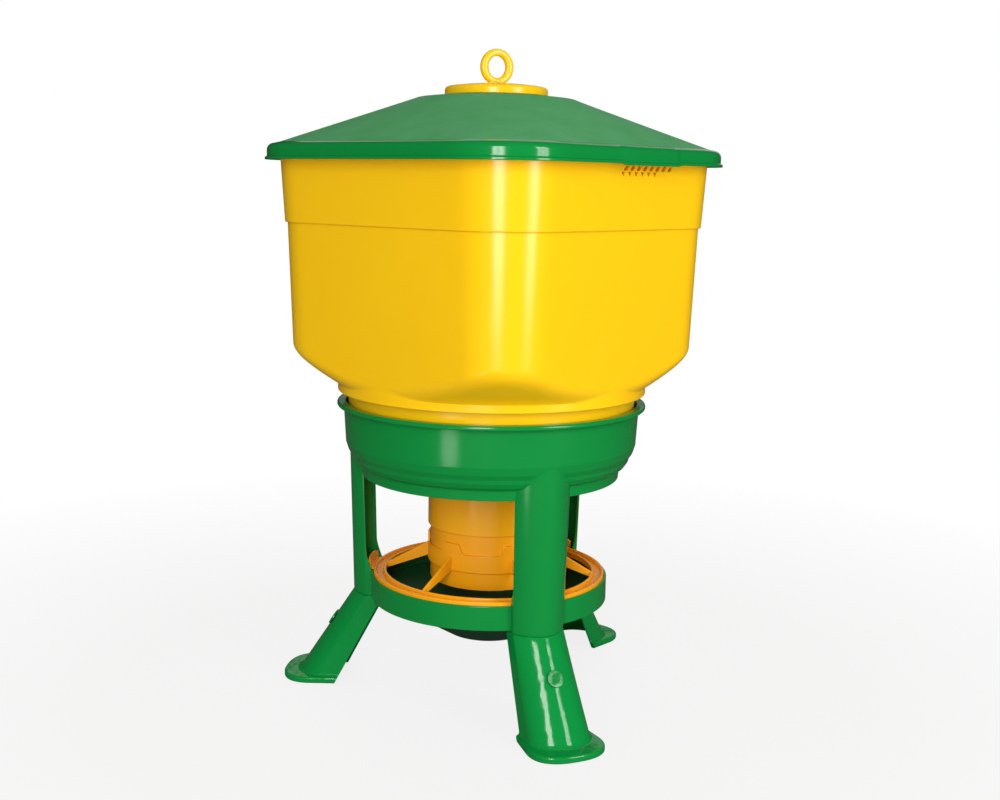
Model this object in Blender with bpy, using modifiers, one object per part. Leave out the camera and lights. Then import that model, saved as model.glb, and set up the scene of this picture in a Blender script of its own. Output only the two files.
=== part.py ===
"""Poultry feeder on three feet: a square hopper on a round stand, with a lid, a feed pan and a grille.

Metres, +Z up. The origin is on the ground under the feeder's axis, and the front foot points along -Y.
"""

import math

import bmesh
import bpy
from mathutils import Matrix, Vector

# Fits shared by all pieces
seat_gap = 0.0003           # between pieces that touch
cut_over = 0.004            # how far a cutter runs past the face that it cuts
round_steps = 48            # facets round a large turned piece
small_steps = 20            # facets round a pin, a bore or a neck
leg_count = 3
spoke_count = 6
hopper_turn = math.radians(-20.0)   # the square hopper stands this far round in its round seat

# Feet and the seam where the columns stand on them
foot_lean = math.radians(33.0)      # outward from the vertical
foot_wall = 0.0032
foot_top_half_width = 0.0375
foot_low_half_width = 0.0445
foot_top_depth = 0.042              # side wall, square to the foot's face
foot_low_depth = 0.056
foot_strip_half_width = 0.0072      # flat strip down the middle of the face
foot_face_fall = 0.0030             # the face falls back by this much from the strip to its edges
foot_edge_round = 0.012             # big rounding between face and side wall
sole_reach = 0.0167                 # past the leg's face on the ground
sole_nose_length = 0.043
sole_nose_half_width = 0.0535
sole_heel_half_width = 0.0490
sole_nose_square_share = 0.80       # 1 is an ellipse, less is squarer
sole_thickness = 0.0095
sole_edge_round = 0.0028
sole_fillet = 0.0040                # between the sole and the leg
seam_height = 0.1345                # where the columns stand on the feet

# Stand: seat ring, columns and pan wall
stand_wall = 0.0032
lip_radius = 0.2202
lip_height = 0.0065
seat_wall_top_radius = 0.2110
seat_wall_low_radius = 0.2080
seat_wall_height = 0.0515
waist_height = 0.0345                # the seat wall curves in to the skirt over this height
skirt_radius = 0.1850
skirt_low_radius = 0.1845
skirt_height = 0.0142
shelf_rise = 0.019                  # the hopper's collar stands on a shelf this far above the skirt
feed_opening = 0.1480               # from the pan wall up to the skirt
column_slant = 0.0064               # the columns lean in by this much towards the seam
column_top_half_width = 0.0405
column_side_depth = 0.027
column_edge_round = 0.012
pan_wall_radius = 0.172
pan_wall_rise = 0.002               # from the seam up to the pan wall's lower edge
pan_wall_height = 0.0343
pan_ledge_width = 0.0105
pan_ledge_thickness = 0.003
gusset_height = 0.030               # where a column's side walls run in to the pan wall
tongue_half_width = 0.024
tongue_length = 0.074               # from the seam down inside the foot
tongue_wall = 0.0040
tongue_root_height = 0.020          # from the seam up inside the column

# Foot pins
pin_head_radius = 0.0117
pin_head_height = 0.0030
pin_head_round = 0.0012
pin_shank_radius = 0.0050
pin_shank_length = 0.0130
pin_drop = 0.057                    # from the seam down the foot's face

# Hopper
hopper_wall = 0.0030
collar_clearance = 0.0025           # inside the stand's lip
collar_taper = 0.0065
neck_radius = 0.2192
neck_clearance = 0.0160             # from the stand's lip up to the neck
neck_height = 0.0114
floor_slope = math.radians(33.0)
floor_blend = 0.020                 # fillet between the walls and the conical floor
floor_corner = 0.0720
band_rise = 0.2211                  # the walls step out this far above the neck
band_half_side = 0.2311
band_corner = 0.0841
band_step = 0.0035
band_edge_round = 0.0025
rim_half_side = 0.2363
rim_corner = 0.0855
flange_rise = 0.086                 # from the step up to the flange
flange_thickness = 0.0060
flange_reach = 0.012
flange_round = 0.0020
rim_rise = 0.0164                   # from the flange's lower side up to the rim
spout_radius = 0.0892
spout_clearance = 0.0145             # the grille can rise this far before it meets the spout
spout_edge_round = 0.0022
spout_fillet = 0.006

# Vent slots in the wall of the hopper
vent_slot_count = 8
vent_triangle_count = 6
vent_pitch = 0.0138
vent_slot_width = 0.0066
vent_slot_height = 0.0062
vent_lean = 0.0048
vent_triangle_width = 0.0085
vent_triangle_height = 0.0056
vent_row_gap = 0.0014
vent_drop = 0.0030                  # from the flange down to the slots
vent_start = -0.0205                # from the middle of the face to the first slot

# Lid
lid_wall = 0.0028
lid_half_side = 0.2545
lid_corner = 0.1055
lid_skirt_height = 0.0176
lid_lip_reach = 0.0028
lid_edge_round = 0.007
lid_shelf_width = 0.0100
lid_break_radius = 0.109
lid_break_rise = 0.0675             # from the shelf up to where the roof turns round
lid_crown_radius = 0.074
lid_crown_rise = 0.0040

# Eye on the lid
eye_cap_radius = 0.0717
eye_cap_edge_height = 0.0085
eye_cap_crown_height = 0.0135
eye_cap_round = 0.0045
eye_ring_radius = 0.0195            # to the middle of the ring's bar
eye_bar_radius = 0.0052
eye_ring_rise = 0.0395              # from the lid's crown to the middle of the ring
eye_neck_radius = 0.0125
eye_neck_top_radius = 0.0090
eye_stem_radius = 0.0070
eye_stem_length = 0.0200
nut_half_width = 0.0110             # across its flats
nut_height = 0.0100

# Pan
pan_wall = 0.0026
pan_side_height = 0.0212
pan_side_clearance = 0.0004
pan_depth = 0.0680                  # from the pan wall's ledge down to the middle of the bowl
bowl_radius_shares = (0.76, 0.38, 0.19)
bowl_depth_shares = (0.307, 0.833, 0.968)

# Grille and flow tube
ring_radius = 0.1684
ring_height = 0.0143
ring_width = 0.0184
ring_bead_width = 0.0040
ring_floor_rise = 0.0095
ring_floor_wall = 0.0030
ring_inner_lip = 0.0038
ring_inner_rise = 0.0006            # the inner lip stands this much higher than the bead
sleeve_wall = 0.0030
sleeve_clearance = 0.0007
sleeve_rise = 0.0297                # above the ring's lower edge
sleeve_height = 0.039
notch_depth = 0.014
notch_floor_share = 0.58            # of one sixth of the sleeve
notch_mouth_share = 0.74
spoke_thickness = 0.0034
spoke_root_height = 0.0215
spoke_tip_height = 0.0085
key_height = 0.0130
key_thickness = 0.0034
key_reach = 0.0081                  # past the ring, into the column's channel
key_half_angle = math.radians(9.3)
key_clearance = 0.0006              # above the pan wall
flow_tube_radius = 0.0855
flow_tube_wall = 0.0025
flow_tube_drop = 0.0505              # below the floor of the sleeve's notches
flow_tube_overlap = 0.055           # up inside the spout
lug_width = 0.0100
lug_height = 0.0062

# Places that follow from these sizes
pan_wall_bottom = seam_height + pan_wall_rise
pan_wall_top = pan_wall_bottom + pan_wall_height
pan_seat = pan_wall_bottom + pan_ledge_thickness + seat_gap
ring_bottom = pan_seat + pan_side_height + seat_gap
ring_top = ring_bottom + ring_height
sleeve_bottom = ring_bottom + sleeve_rise
sleeve_top = sleeve_bottom + sleeve_height
notch_floor = sleeve_top - notch_depth
sleeve_inner_radius = flow_tube_radius + sleeve_clearance
sleeve_outer_radius = sleeve_inner_radius + sleeve_wall
spout_bottom = sleeve_top + spout_clearance
skirt_bottom = pan_wall_top + feed_opening
skirt_top = skirt_bottom + skirt_height
shelf_height = skirt_top + shelf_rise
seat_wall_low = skirt_top + waist_height
lip_low = seat_wall_low + seat_wall_height
lip_top = lip_low + lip_height
column_top_radius = seat_wall_low_radius - stand_wall / 3.0
column_foot_radius = column_top_radius - column_slant
collar_radius = seat_wall_top_radius - stand_wall - collar_clearance
collar_low_radius = collar_radius - collar_taper
neck_bottom = lip_top + neck_clearance
neck_top = neck_bottom + neck_height
band_bottom = neck_top + band_rise
flange_bottom = band_bottom + flange_rise
rim_top = flange_bottom + rim_rise
lid_shelf = rim_top + seat_gap + lid_wall
lid_crown = lid_shelf + lid_break_rise + lid_crown_rise


def direction(azimuth):
    """Unit vector on the ground for an azimuth measured from the front (-Y) towards +X."""
    return Vector((math.sin(azimuth), -math.cos(azimuth), 0.0))


def new_collection(name):
    collection = bpy.data.collections.new(name)
    bpy.context.scene.collection.children.link(collection)
    return collection


def new_material(name, colour, roughness):
    material = bpy.data.materials.new(name)
    material.use_nodes = True
    shader = material.node_tree.nodes["Principled BSDF"]
    shader.inputs["Base Color"].default_value = (*colour, 1.0)
    shader.inputs["Roughness"].default_value = roughness
    shader.inputs["Metallic"].default_value = 0.0
    return material


def new_object(name, mesh, material=None, helper=False):
    """Link a mesh as a named part, or as a hidden helper for a Boolean."""
    shape = bpy.data.objects.new(name, mesh)
    if helper:
        cutters.objects.link(shape)
        shape.hide_render = True
        shape.display_type = "WIRE"
    else:
        feeder.objects.link(shape)
        shape.data.materials.append(material)
    return shape


def mesh_of(name, points, faces, edges=()):
    mesh = bpy.data.meshes.new(name)
    mesh.from_pydata([tuple(p) for p in points], list(edges), faces)
    mesh.update()
    return mesh


def turned(name, profile, steps=round_steps, **where):
    """Turn a closed outline of (radius, height) points round the vertical axis.

    The outline runs down its outer side, so that its faces point out.
    """
    points = [(radius, 0.0, height) for radius, height in profile]
    edges = [(i, (i + 1) % len(points)) for i in range(len(points))]
    if profile[0][0] == 0.0:
        edges.pop()
    shape = new_object(name, mesh_of(name, points, [], edges), **where)
    screw = shape.modifiers.new("turn", "SCREW")
    screw.angle = 2.0 * math.pi
    screw.steps = steps
    screw.render_steps = steps
    screw.use_merge_vertices = True
    screw.merge_threshold = 0.00001
    return shape


def skinned(name, rings, closed=False, caps=False, **where):
    """Skin a list of rings that have the same number of points: a loft between unlike sections."""
    count = len(rings[0])
    points = [p for ring in rings for p in ring]
    faces = []
    spans = len(rings) if closed else len(rings) - 1
    for row in range(spans):
        low = row * count
        high = ((row + 1) % len(rings)) * count
        for k in range(count):
            after = (k + 1) % count
            faces.append((low + k, low + after, high + after, high + k))
    if caps:
        faces.append(tuple(reversed(range(count))))
        faces.append(tuple(range(len(points) - count, len(points))))
    return new_object(name, mesh_of(name, points, faces), **where)


def prism(name, outline, depth, frame, **where):
    """Extrude an outline of (across, up) points by depth, and place it by a 4x4 frame."""
    builder = bmesh.new()
    base = [builder.verts.new((x, 0.0, z)) for x, z in outline]
    face = builder.faces.new(base)
    grown = bmesh.ops.extrude_face_region(builder, geom=[face])
    moved = [part for part in grown["geom"] if isinstance(part, bmesh.types.BMVert)]
    bmesh.ops.translate(builder, verts=moved, vec=(0.0, depth, 0.0))
    bmesh.ops.recalc_face_normals(builder, faces=builder.faces)
    bmesh.ops.transform(builder, matrix=frame, verts=builder.verts)
    mesh = bpy.data.meshes.new(name)
    builder.to_mesh(mesh)
    builder.free()
    return new_object(name, mesh, **where)


def combine(shape, tool, operation):
    step = shape.modifiers.new(operation.lower(), "BOOLEAN")
    step.object = tool
    step.operation = operation
    step.solver = "EXACT"
    return shape


def solidify(shape, wall):
    step = shape.modifiers.new("wall", "SOLIDIFY")
    step.thickness = wall
    step.offset = -1.0
    step.use_even_offset = True
    return shape


def smooth(shape, angle=35.0):
    shape.data.shade_smooth()
    shape.data.set_sharp_from_angle(angle=math.radians(angle))


def azimuth_frame(azimuth, radius=0.0, height=0.0):
    """Frame at a radius on an azimuth: X across, Y inwards to the axis, Z up."""
    return Matrix.Translation(direction(azimuth) * radius + Vector((0.0, 0.0, height))) @ Matrix.Rotation(azimuth, 4, "Z")


# Square sections of the hopper and the lid: the same polar angles serve every ring,
# closer together round the corners
quarter_angles = (0.0, 12.5, 24.0, 31.0, 38.0, 45.0, 52.0, 59.0, 66.0, 77.5)
square_angles = [math.radians(side * 90.0 + step) for side in range(4) for step in quarter_angles]


def square_radius(angle, half_side, corner):
    """Distance from the centre to the edge of a square with rounded corners, at an angle from a face."""
    turn = angle % (math.pi / 2.0)
    turn = min(turn, math.pi / 2.0 - turn)
    flat = half_side - corner
    if half_side * math.tan(turn) <= flat:
        return half_side / math.cos(turn)
    along = flat * (math.cos(turn) + math.sin(turn))
    return along + math.sqrt(along * along - 2.0 * flat * flat + corner * corner)


def smooth_least(first, second, blend):
    """The smaller of two lengths, with a rounded changeover as wide as blend."""
    overlap = max(blend - abs(first - second), 0.0)
    return min(first, second) - overlap * overlap / (4.0 * blend)


def polar_ring(radii, height):
    """Ring of points round the hopper's axes, whose corners stand at the hopper's turn."""
    start = hopper_turn + math.pi / 4.0
    return [direction(start + angle) * radius + Vector((0.0, 0.0, height))
            for angle, radius in zip(square_angles, radii)]


def square_ring(half_side, corner, height):
    return polar_ring([square_radius(angle, half_side, corner) for angle in square_angles], height)


def circle_ring(radius, height):
    return polar_ring([radius] * len(square_angles), height)


def between(low, high, share):
    return low + (high - low) * share


quarter_turn = [math.radians(step) for step in (0.0, 30.0, 60.0, 90.0)]
wave_shares = (0.0, 0.04, 0.08, 0.12, 0.16, 0.20, 0.26, 0.33)


def build_lid():
    """Roof with a flat shelf round it and a skirt that drops past the hopper's flange."""
    lip_height = lid_shelf - lid_skirt_height
    rings = [square_ring(lid_half_side + lid_lip_reach, lid_corner + lid_lip_reach, lip_height),
             square_ring(lid_half_side, lid_corner, lip_height)]
    for turn in quarter_turn:
        inset = lid_edge_round * (1.0 - math.cos(turn))
        drop = lid_edge_round * (1.0 - math.sin(turn))
        rings.append(square_ring(lid_half_side - inset, lid_corner - inset, lid_shelf - drop))
    inset = lid_edge_round + lid_shelf_width
    rings.append(square_ring(lid_half_side - inset, lid_corner, lid_shelf))
    rings.append(circle_ring(lid_break_radius, lid_shelf + lid_break_rise))
    rings.append(circle_ring(lid_crown_radius, lid_crown))
    rings.append(circle_ring(eye_stem_radius + seat_gap, lid_crown))
    lid = skinned("lid", rings, material=green_lid)
    solidify(lid, lid_wall)
    smooth(lid)


def build_lid_eye():
    """Cap, ring and stem in one moulding, with a nut on the stem below the lid."""
    base = lid_crown + seat_gap
    ring_centre = lid_crown + eye_ring_rise
    edge = base + eye_cap_edge_height
    crown = base + eye_cap_crown_height
    profile = [(0.0, crown)]
    for share in (0.35, 0.7, 0.9):
        radius = (eye_cap_radius - eye_cap_round) * share
        profile.append((radius, between(crown, edge, share * share)))
    for turn in reversed(quarter_turn):
        profile.append((eye_cap_radius - eye_cap_round * (1.0 - math.cos(turn)),
                        edge - eye_cap_round * (1.0 - math.sin(turn))))
    profile += [(eye_cap_radius, base), (eye_stem_radius, base)]
    profile += [(eye_stem_radius, base - eye_stem_length), (0.0, base - eye_stem_length)]
    eye = turned("lid_eye", profile, steps=2 * small_steps, material=yellow_bright)

    bpy.ops.mesh.primitive_torus_add(major_radius=eye_ring_radius, minor_radius=eye_bar_radius,
                                     major_segments=24, minor_segments=10,
                                     rotation=(math.pi / 2.0, 0.0, 0.0), location=(0.0, 0.0, ring_centre))
    ring = bpy.context.active_object
    ring.data.transform(ring.matrix_world)
    ring.matrix_world = Matrix.Identity(4)
    ring_mesh = ring.data
    bpy.data.objects.remove(ring)
    ring = new_object("eye_ring_form", ring_mesh, helper=True)

    neck_high = ring_centre - eye_ring_radius + eye_bar_radius * 0.4
    neck_low = crown - eye_cap_round
    neck = turned("eye_neck_form", [(0.0, neck_high), (eye_neck_top_radius, neck_high),
                                    (eye_neck_radius, neck_low), (0.0, neck_low)], steps=small_steps, helper=True)
    combine(eye, ring, "UNION")
    combine(eye, neck, "UNION")
    smooth(eye)

    nut_top = lid_crown - lid_wall - seat_gap
    outline = [direction(math.radians(60.0 * k)) * nut_half_width / math.cos(math.pi / 6.0) for k in range(6)]
    rings = [[p + Vector((0.0, 0.0, height)) for p in outline] for height in (nut_top - nut_height, nut_top)]
    nut = skinned("lid_eye_nut", rings, caps=True, material=yellow_shade)
    bore_radius = eye_stem_radius + seat_gap
    bore = turned("nut_bore", [(0.0, nut_top + cut_over), (bore_radius, nut_top + cut_over),
                               (bore_radius, nut_top - nut_height - cut_over),
                               (0.0, nut_top - nut_height - cut_over)], steps=small_steps, helper=True)
    combine(nut, bore, "DIFFERENCE")


def hopper_ring(height, wall=0.0):
    """Ring of the bin below its step: the rounded square where it is inside the floor's cone, else the cone."""
    share = (height - neck_top) / band_rise
    half_side = between(neck_radius, band_half_side - band_step, share) - wall
    corner = between(floor_corner, band_corner - band_step, share) - wall
    cone = neck_radius + (height - neck_top) / math.tan(floor_slope) - wall / math.sin(floor_slope)
    radii = [smooth_least(square_radius(angle, half_side, corner), cone, floor_blend) for angle in square_angles]
    if not wall:
        radii = [max(radius, neck_radius) for radius in radii]
    return polar_ring(radii, height)


def build_hopper():
    """Square bin that runs into a conical floor, a collar for the stand's seat and an outlet spout.

    One closed skin: up the inside from the spout to the rim, then down the outside, over the flange,
    the step, the neck and the collar, and back along the funnel's underside to the spout.
    """
    wall = hopper_wall
    slope = math.tan(floor_slope)
    rows = [hopper_ring(neck_top + band_rise * share) for share in wave_shares]
    inner_rows = [hopper_ring(neck_top + band_rise * share, wall) for share in wave_shares]

    bore = spout_radius - wall
    inner_rise = wall / math.cos(floor_slope)
    bore_top = neck_top - (neck_radius - bore) * slope + inner_rise
    spout_top = neck_top - (neck_radius - spout_radius) * slope
    inside = [circle_ring(bore, spout_bottom), circle_ring(bore, bore_top - spout_fillet),
              circle_ring(bore + spout_fillet, bore_top + spout_fillet * slope)]
    inside += inner_rows
    inside += [square_ring(band_half_side - band_step - wall, band_corner - band_step - wall, band_bottom + wall / 3.0),
               square_ring(band_half_side - wall, band_corner - wall, band_bottom + wall),
               square_ring(rim_half_side - wall, rim_corner - wall, rim_top)]

    share = flange_rise / (flange_rise + rim_rise)
    side = between(band_half_side, rim_half_side, share)
    corner = between(band_corner, rim_corner, share)
    flange_top = flange_bottom + flange_thickness
    flange_rows = ((0.0, flange_top), (flange_reach, flange_top), (flange_reach, flange_bottom + flange_round),
                   (flange_reach - flange_round, flange_bottom), (0.0, flange_bottom))
    outside = [square_ring(rim_half_side, rim_corner, rim_top)]
    outside += [square_ring(side + out, corner + out, height) for out, height in flange_rows]
    outside += [square_ring(band_half_side, band_corner, band_bottom + band_edge_round),
                square_ring(band_half_side - band_edge_round, band_corner - band_edge_round, band_bottom),
                square_ring(band_half_side - band_step, band_corner - band_step, band_bottom)]
    outside += list(reversed(rows))
    under_neck = neck_top - (neck_radius - collar_radius + wall) * slope
    collar_base = shelf_height + seat_gap
    outside += [circle_ring(neck_radius, neck_bottom), circle_ring(collar_radius, neck_bottom),
                circle_ring(collar_low_radius, collar_base), circle_ring(collar_low_radius - wall, collar_base),
                circle_ring(collar_radius - wall, under_neck),
                circle_ring(spout_radius + spout_fillet, spout_top + spout_fillet * slope),
                circle_ring(spout_radius, spout_top - spout_fillet),
                circle_ring(spout_radius, spout_bottom + spout_edge_round),
                circle_ring(spout_radius - spout_edge_round, spout_bottom)]
    hopper = skinned("hopper", list(reversed(inside + outside)), closed=True, material=yellow_bright)
    for number, outline in enumerate(vent_outlines()):
        frame = azimuth_frame(hopper_turn + math.pi / 4.0, rim_half_side + cut_over, 0.0)
        vent = prism(f"vent_{number}", outline, 2.0 * cut_over + 2.0 * wall, frame, helper=True)
        combine(hopper, vent, "DIFFERENCE")
    smooth(hopper)


def vent_outlines():
    """Two rows of vents on one face: slanted slots, and small triangles under them."""
    top = flange_bottom - vent_drop
    outlines = []
    for k in range(vent_slot_count):
        left = vent_start + k * vent_pitch
        low = top - vent_slot_height
        outlines.append([(left, low), (left + vent_slot_width, low),
                         (left + vent_slot_width + vent_lean, top), (left + vent_lean, top)])
    top -= vent_slot_height + vent_row_gap
    for k in range(vent_triangle_count):
        left = vent_start + k * vent_pitch
        outlines.append([(left + vent_triangle_width / 2.0, top - vent_triangle_height),
                         (left + vent_triangle_width, top), (left, top)])
    return outlines


def build_stand():
    """Seat ring, three channel columns with tongues for the feet, and the pan wall, in one moulding."""
    wall = stand_wall
    shelf_inner = collar_low_radius - hopper_wall - seat_gap
    profile = [(lip_radius - 0.25 * lip_height, lip_top), (lip_radius, lip_top - 0.35 * lip_height),
               (lip_radius, lip_low), (seat_wall_top_radius, lip_low),
               (seat_wall_low_radius, seat_wall_low)]
    step_radii = (0.85, 0.65, 0.585, 0.39, 0.04)
    step_heights = (0.69, 0.49, 0.33, 0.14, 0.0)
    for radius_share, height_share in zip(step_radii, step_heights):
        profile.append((between(skirt_radius, seat_wall_low_radius, radius_share),
                        between(skirt_top, seat_wall_low, height_share)))
    profile += [(skirt_low_radius, skirt_bottom), (skirt_low_radius - wall, skirt_bottom),
                (skirt_radius - wall, skirt_top + wall), (shelf_inner - wall, between(skirt_top, shelf_height, 0.45)),
                (shelf_inner, between(skirt_top, shelf_height, 0.75)), (shelf_inner, shelf_height),
                (collar_low_radius + wall / 4.0, shelf_height),
                (seat_wall_low_radius - wall * 1.2, between(shelf_height, seat_wall_low, 0.45)),
                (seat_wall_low_radius - wall, seat_wall_low), (seat_wall_top_radius - wall, lip_top)]
    stand = turned("stand", profile, material=green_gloss)

    inner = pan_wall_radius - wall
    pan_ring = turned("pan_wall_form", [(pan_wall_radius - wall / 3.0, pan_wall_top),
                                        (pan_wall_radius, pan_wall_top - wall / 3.0),
                                        (pan_wall_radius, pan_wall_bottom),
                                        (inner - pan_ledge_width, pan_wall_bottom),
                                        (inner - pan_ledge_width, pan_wall_bottom + pan_ledge_thickness),
                                        (inner, pan_wall_bottom + pan_ledge_thickness),
                                        (inner, pan_wall_top)], helper=True)
    combine(stand, pan_ring, "UNION")

    into = wall / 3.0
    high = lip_top + cut_over
    bore = turned("seat_bore", [(0.0, high), (seat_wall_top_radius - wall + into, high),
                                (seat_wall_low_radius - wall + into, seat_wall_low),
                                (collar_low_radius + wall / 4.0 + into, shelf_height - into),
                                (0.0, shelf_height - into)], helper=True)
    for leg in range(leg_count):
        azimuth = leg * 2.0 * math.pi / leg_count
        column = column_form(f"column_form_{leg}", azimuth)
        combine(column, bore, "DIFFERENCE")
        combine(stand, column, "UNION")
        combine(stand, tongue_form(f"tongue_form_{leg}", azimuth), "UNION")
    smooth(stand)


def channel_section(half_width, depth, wall, edge_round, strip_half_width=0.0, fall=0.0):
    """Outline of a channel, open at its back, as (across, inwards) points: outer side, then inner side.

    Its face falls back from a flat strip in the middle to the rounded edges.
    """
    half = [(half_width, depth)]
    for turn in quarter_turn:
        half.append((half_width - edge_round * (1.0 - math.cos(turn)),
                     fall + edge_round * (1.0 - math.sin(turn))))
    half.append((strip_half_width, 0.0))
    outer = half + [(-across, inwards) for across, inwards in reversed(half)]
    inner_round = edge_round - wall
    half = [(half_width - wall, depth)]
    for turn in quarter_turn[::3] + [quarter_turn[2]]:
        half.append((half_width - wall - inner_round * (1.0 - math.cos(turn)),
                     fall + wall + inner_round * (1.0 - math.sin(turn))))
    half[2:] = reversed(half[2:])
    half.append((strip_half_width, wall))
    inner = half + [(-across, inwards) for across, inwards in reversed(half)]
    return outer + list(reversed(inner))


def column_face_radius(height):
    """The column's outer face leans out a little, from the seam up to the seat wall."""
    share = (height - seam_height) / (seat_wall_low - seam_height)
    return between(column_foot_radius, column_top_radius, share)


def foot_face_radius(height):
    return column_foot_radius + (seam_height - height) * math.tan(foot_lean)


def placed_ring(section, azimuth, face_radius, height):
    frame = azimuth_frame(azimuth)
    return [frame @ Vector((across, -face_radius + inwards, height)) for across, inwards in section]


def column_form(name, azimuth):
    """A channel column, open inwards, whose side walls run in to the pan wall low down."""
    high = seat_wall_low - 0.15 * waist_height
    levels = [(seam_height, 1.0), (pan_wall_top, 1.0), (pan_wall_top + 0.45 * gusset_height, 0.45),
              (pan_wall_top + gusset_height, 0.0), (high, 0.0)]
    rings = []
    for height, run_in in levels:
        share = (height - seam_height) / (high - seam_height)
        half_width = between(foot_top_half_width, column_top_half_width, share)
        face = column_face_radius(height)
        to_pan = face - math.sqrt((pan_wall_radius - stand_wall / 2.0) ** 2 - half_width ** 2)
        depth = between(column_side_depth, to_pan, run_in)
        section = channel_section(half_width, depth, stand_wall, column_edge_round)
        rings.append(placed_ring(section, azimuth, face, height))
    return skinned(name, rings, caps=True, helper=True)


def tongue_form(name, azimuth):
    """Web that leans like the foot: fused to the column's side walls, and a tongue inside the foot."""
    slant = 1.0 / math.cos(foot_lean)
    near = (foot_wall + foot_face_fall + seat_gap) * slant
    far = near + tongue_wall * slant
    root_half_width = foot_top_half_width - stand_wall / 2.0
    levels = ((seam_height - tongue_length * math.cos(foot_lean), tongue_half_width),
              (seam_height, tongue_half_width),
              (seam_height + 2.0 * foot_wall, root_half_width),
              (seam_height + tongue_root_height, root_half_width))
    rings = []
    for height, half_width in levels:
        section = [(half_width, near), (-half_width, near), (-half_width, far), (half_width, far)]
        rings.append(placed_ring(section, azimuth, foot_face_radius(height), height))
    tongue = skinned(name, rings, caps=True, helper=True)
    combine(tongue, pin_tool(f"{name}_hole", azimuth, pin_shank_radius + seat_gap), "DIFFERENCE")
    return tongue


def pin_frame(azimuth):
    """Frame of a pin: origin on the foot's face, Z out of the face."""
    height = seam_height - pin_drop * math.cos(foot_lean)
    base = azimuth_frame(azimuth) @ Matrix.Translation((0.0, -foot_face_radius(height), height))
    return base @ Matrix.Rotation(math.pi / 2.0 - foot_lean, 4, "X")


def pin_tool(name, azimuth, radius):
    over = foot_top_depth
    tool = turned(name, [(0.0, over), (radius, over), (radius, -over), (0.0, -over)], steps=small_steps,
                  helper=True)
    tool.matrix_world = pin_frame(azimuth)
    return tool


def leg_outline(height):
    """Section of a foot's channel at a height, and the radius of its face there."""
    share = height / seam_height
    half_width = between(foot_low_half_width, foot_top_half_width, share)
    slant = 1.0 / math.cos(foot_lean)
    depth = between(foot_low_depth, foot_top_depth, share)
    section = channel_section(half_width, depth, foot_wall, foot_edge_round, foot_strip_half_width, foot_face_fall)
    return [(across, inwards * slant) for across, inwards in section], foot_face_radius(height)


def sole_outline(height, inset):
    """The sole's outer side, a squarish half round, followed by the inner side of the leg."""
    section, face = leg_outline(height)
    outer_count = len(section) // 2
    nose = face - foot_face_radius(0.0) - sole_reach
    middle = nose + sole_nose_length
    across = sole_nose_half_width - inset
    along = sole_nose_length - inset
    back = section[0][1]
    outline = [(sole_heel_half_width - inset, back)]
    for k in range(outer_count - 2):
        turn = math.pi * k / (outer_count - 3)
        side = math.copysign(abs(math.cos(turn)) ** sole_nose_square_share, math.cos(turn))
        outline.append((across * side, middle - along * math.sin(turn) ** sole_nose_square_share))
    outline.append((-sole_heel_half_width + inset, back))
    return outline + section[outer_count:], face


def build_foot(name, pin_name, azimuth):
    """Splayed channel leg with a flanged sole, and the push pin that locks it on its tongue."""
    sole_rows = ((0.0, sole_edge_round), (sole_edge_round, 0.0),
                 (sole_thickness - sole_edge_round, 0.0), (sole_thickness, sole_edge_round))
    rings = []
    for height, inset in sole_rows:
        section, face = sole_outline(height, inset)
        rings.append(placed_ring(section, azimuth, face, height))
    for height in (sole_thickness + sole_fillet, seam_height - seat_gap):
        section, face = leg_outline(height)
        rings.append(placed_ring(section, azimuth, face, height))
    foot = skinned(name, rings, caps=True, material=green_gloss)
    combine(foot, pin_tool(f"{name}_pin_hole", azimuth, pin_shank_radius + seat_gap), "DIFFERENCE")
    smooth(foot)

    head = seat_gap + pin_head_height
    profile = [(0.0, head), (pin_head_radius - pin_head_round, head), (pin_head_radius, head - pin_head_round),
               (pin_head_radius, seat_gap), (pin_shank_radius, seat_gap), (pin_shank_radius, -pin_shank_length),
               (0.0, -pin_shank_length)]
    pin = turned(pin_name, profile, steps=small_steps, material=green_gloss)
    pin.matrix_world = pin_frame(azimuth)
    smooth(pin)


def build_flow_tube():
    """Inner tube that telescopes in the spout, with two lugs that stand in the sleeve's notches."""
    inner = flow_tube_radius - flow_tube_wall
    top = spout_bottom + flow_tube_overlap
    bottom = notch_floor - flow_tube_drop
    tube = turned("flow_tube", [(flow_tube_radius, top), (flow_tube_radius, bottom),
                                (inner, bottom), (inner, top)], material=yellow_shade)
    base = notch_floor + seat_gap
    half = lug_width / 2.0
    outline = [(-half, 0.0), (half, 0.0), (half, lug_height), (-half, lug_height)]
    depth = sleeve_outer_radius - flow_tube_radius + flow_tube_wall / 2.0
    for azimuth in (math.pi / spoke_count, math.pi / spoke_count + math.pi):
        lug = prism(f"lug_form_{round(math.degrees(azimuth))}", outline, depth,
                    azimuth_frame(azimuth, sleeve_outer_radius, base), helper=True)
        combine(tube, lug, "UNION")
    smooth(tube)


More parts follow.
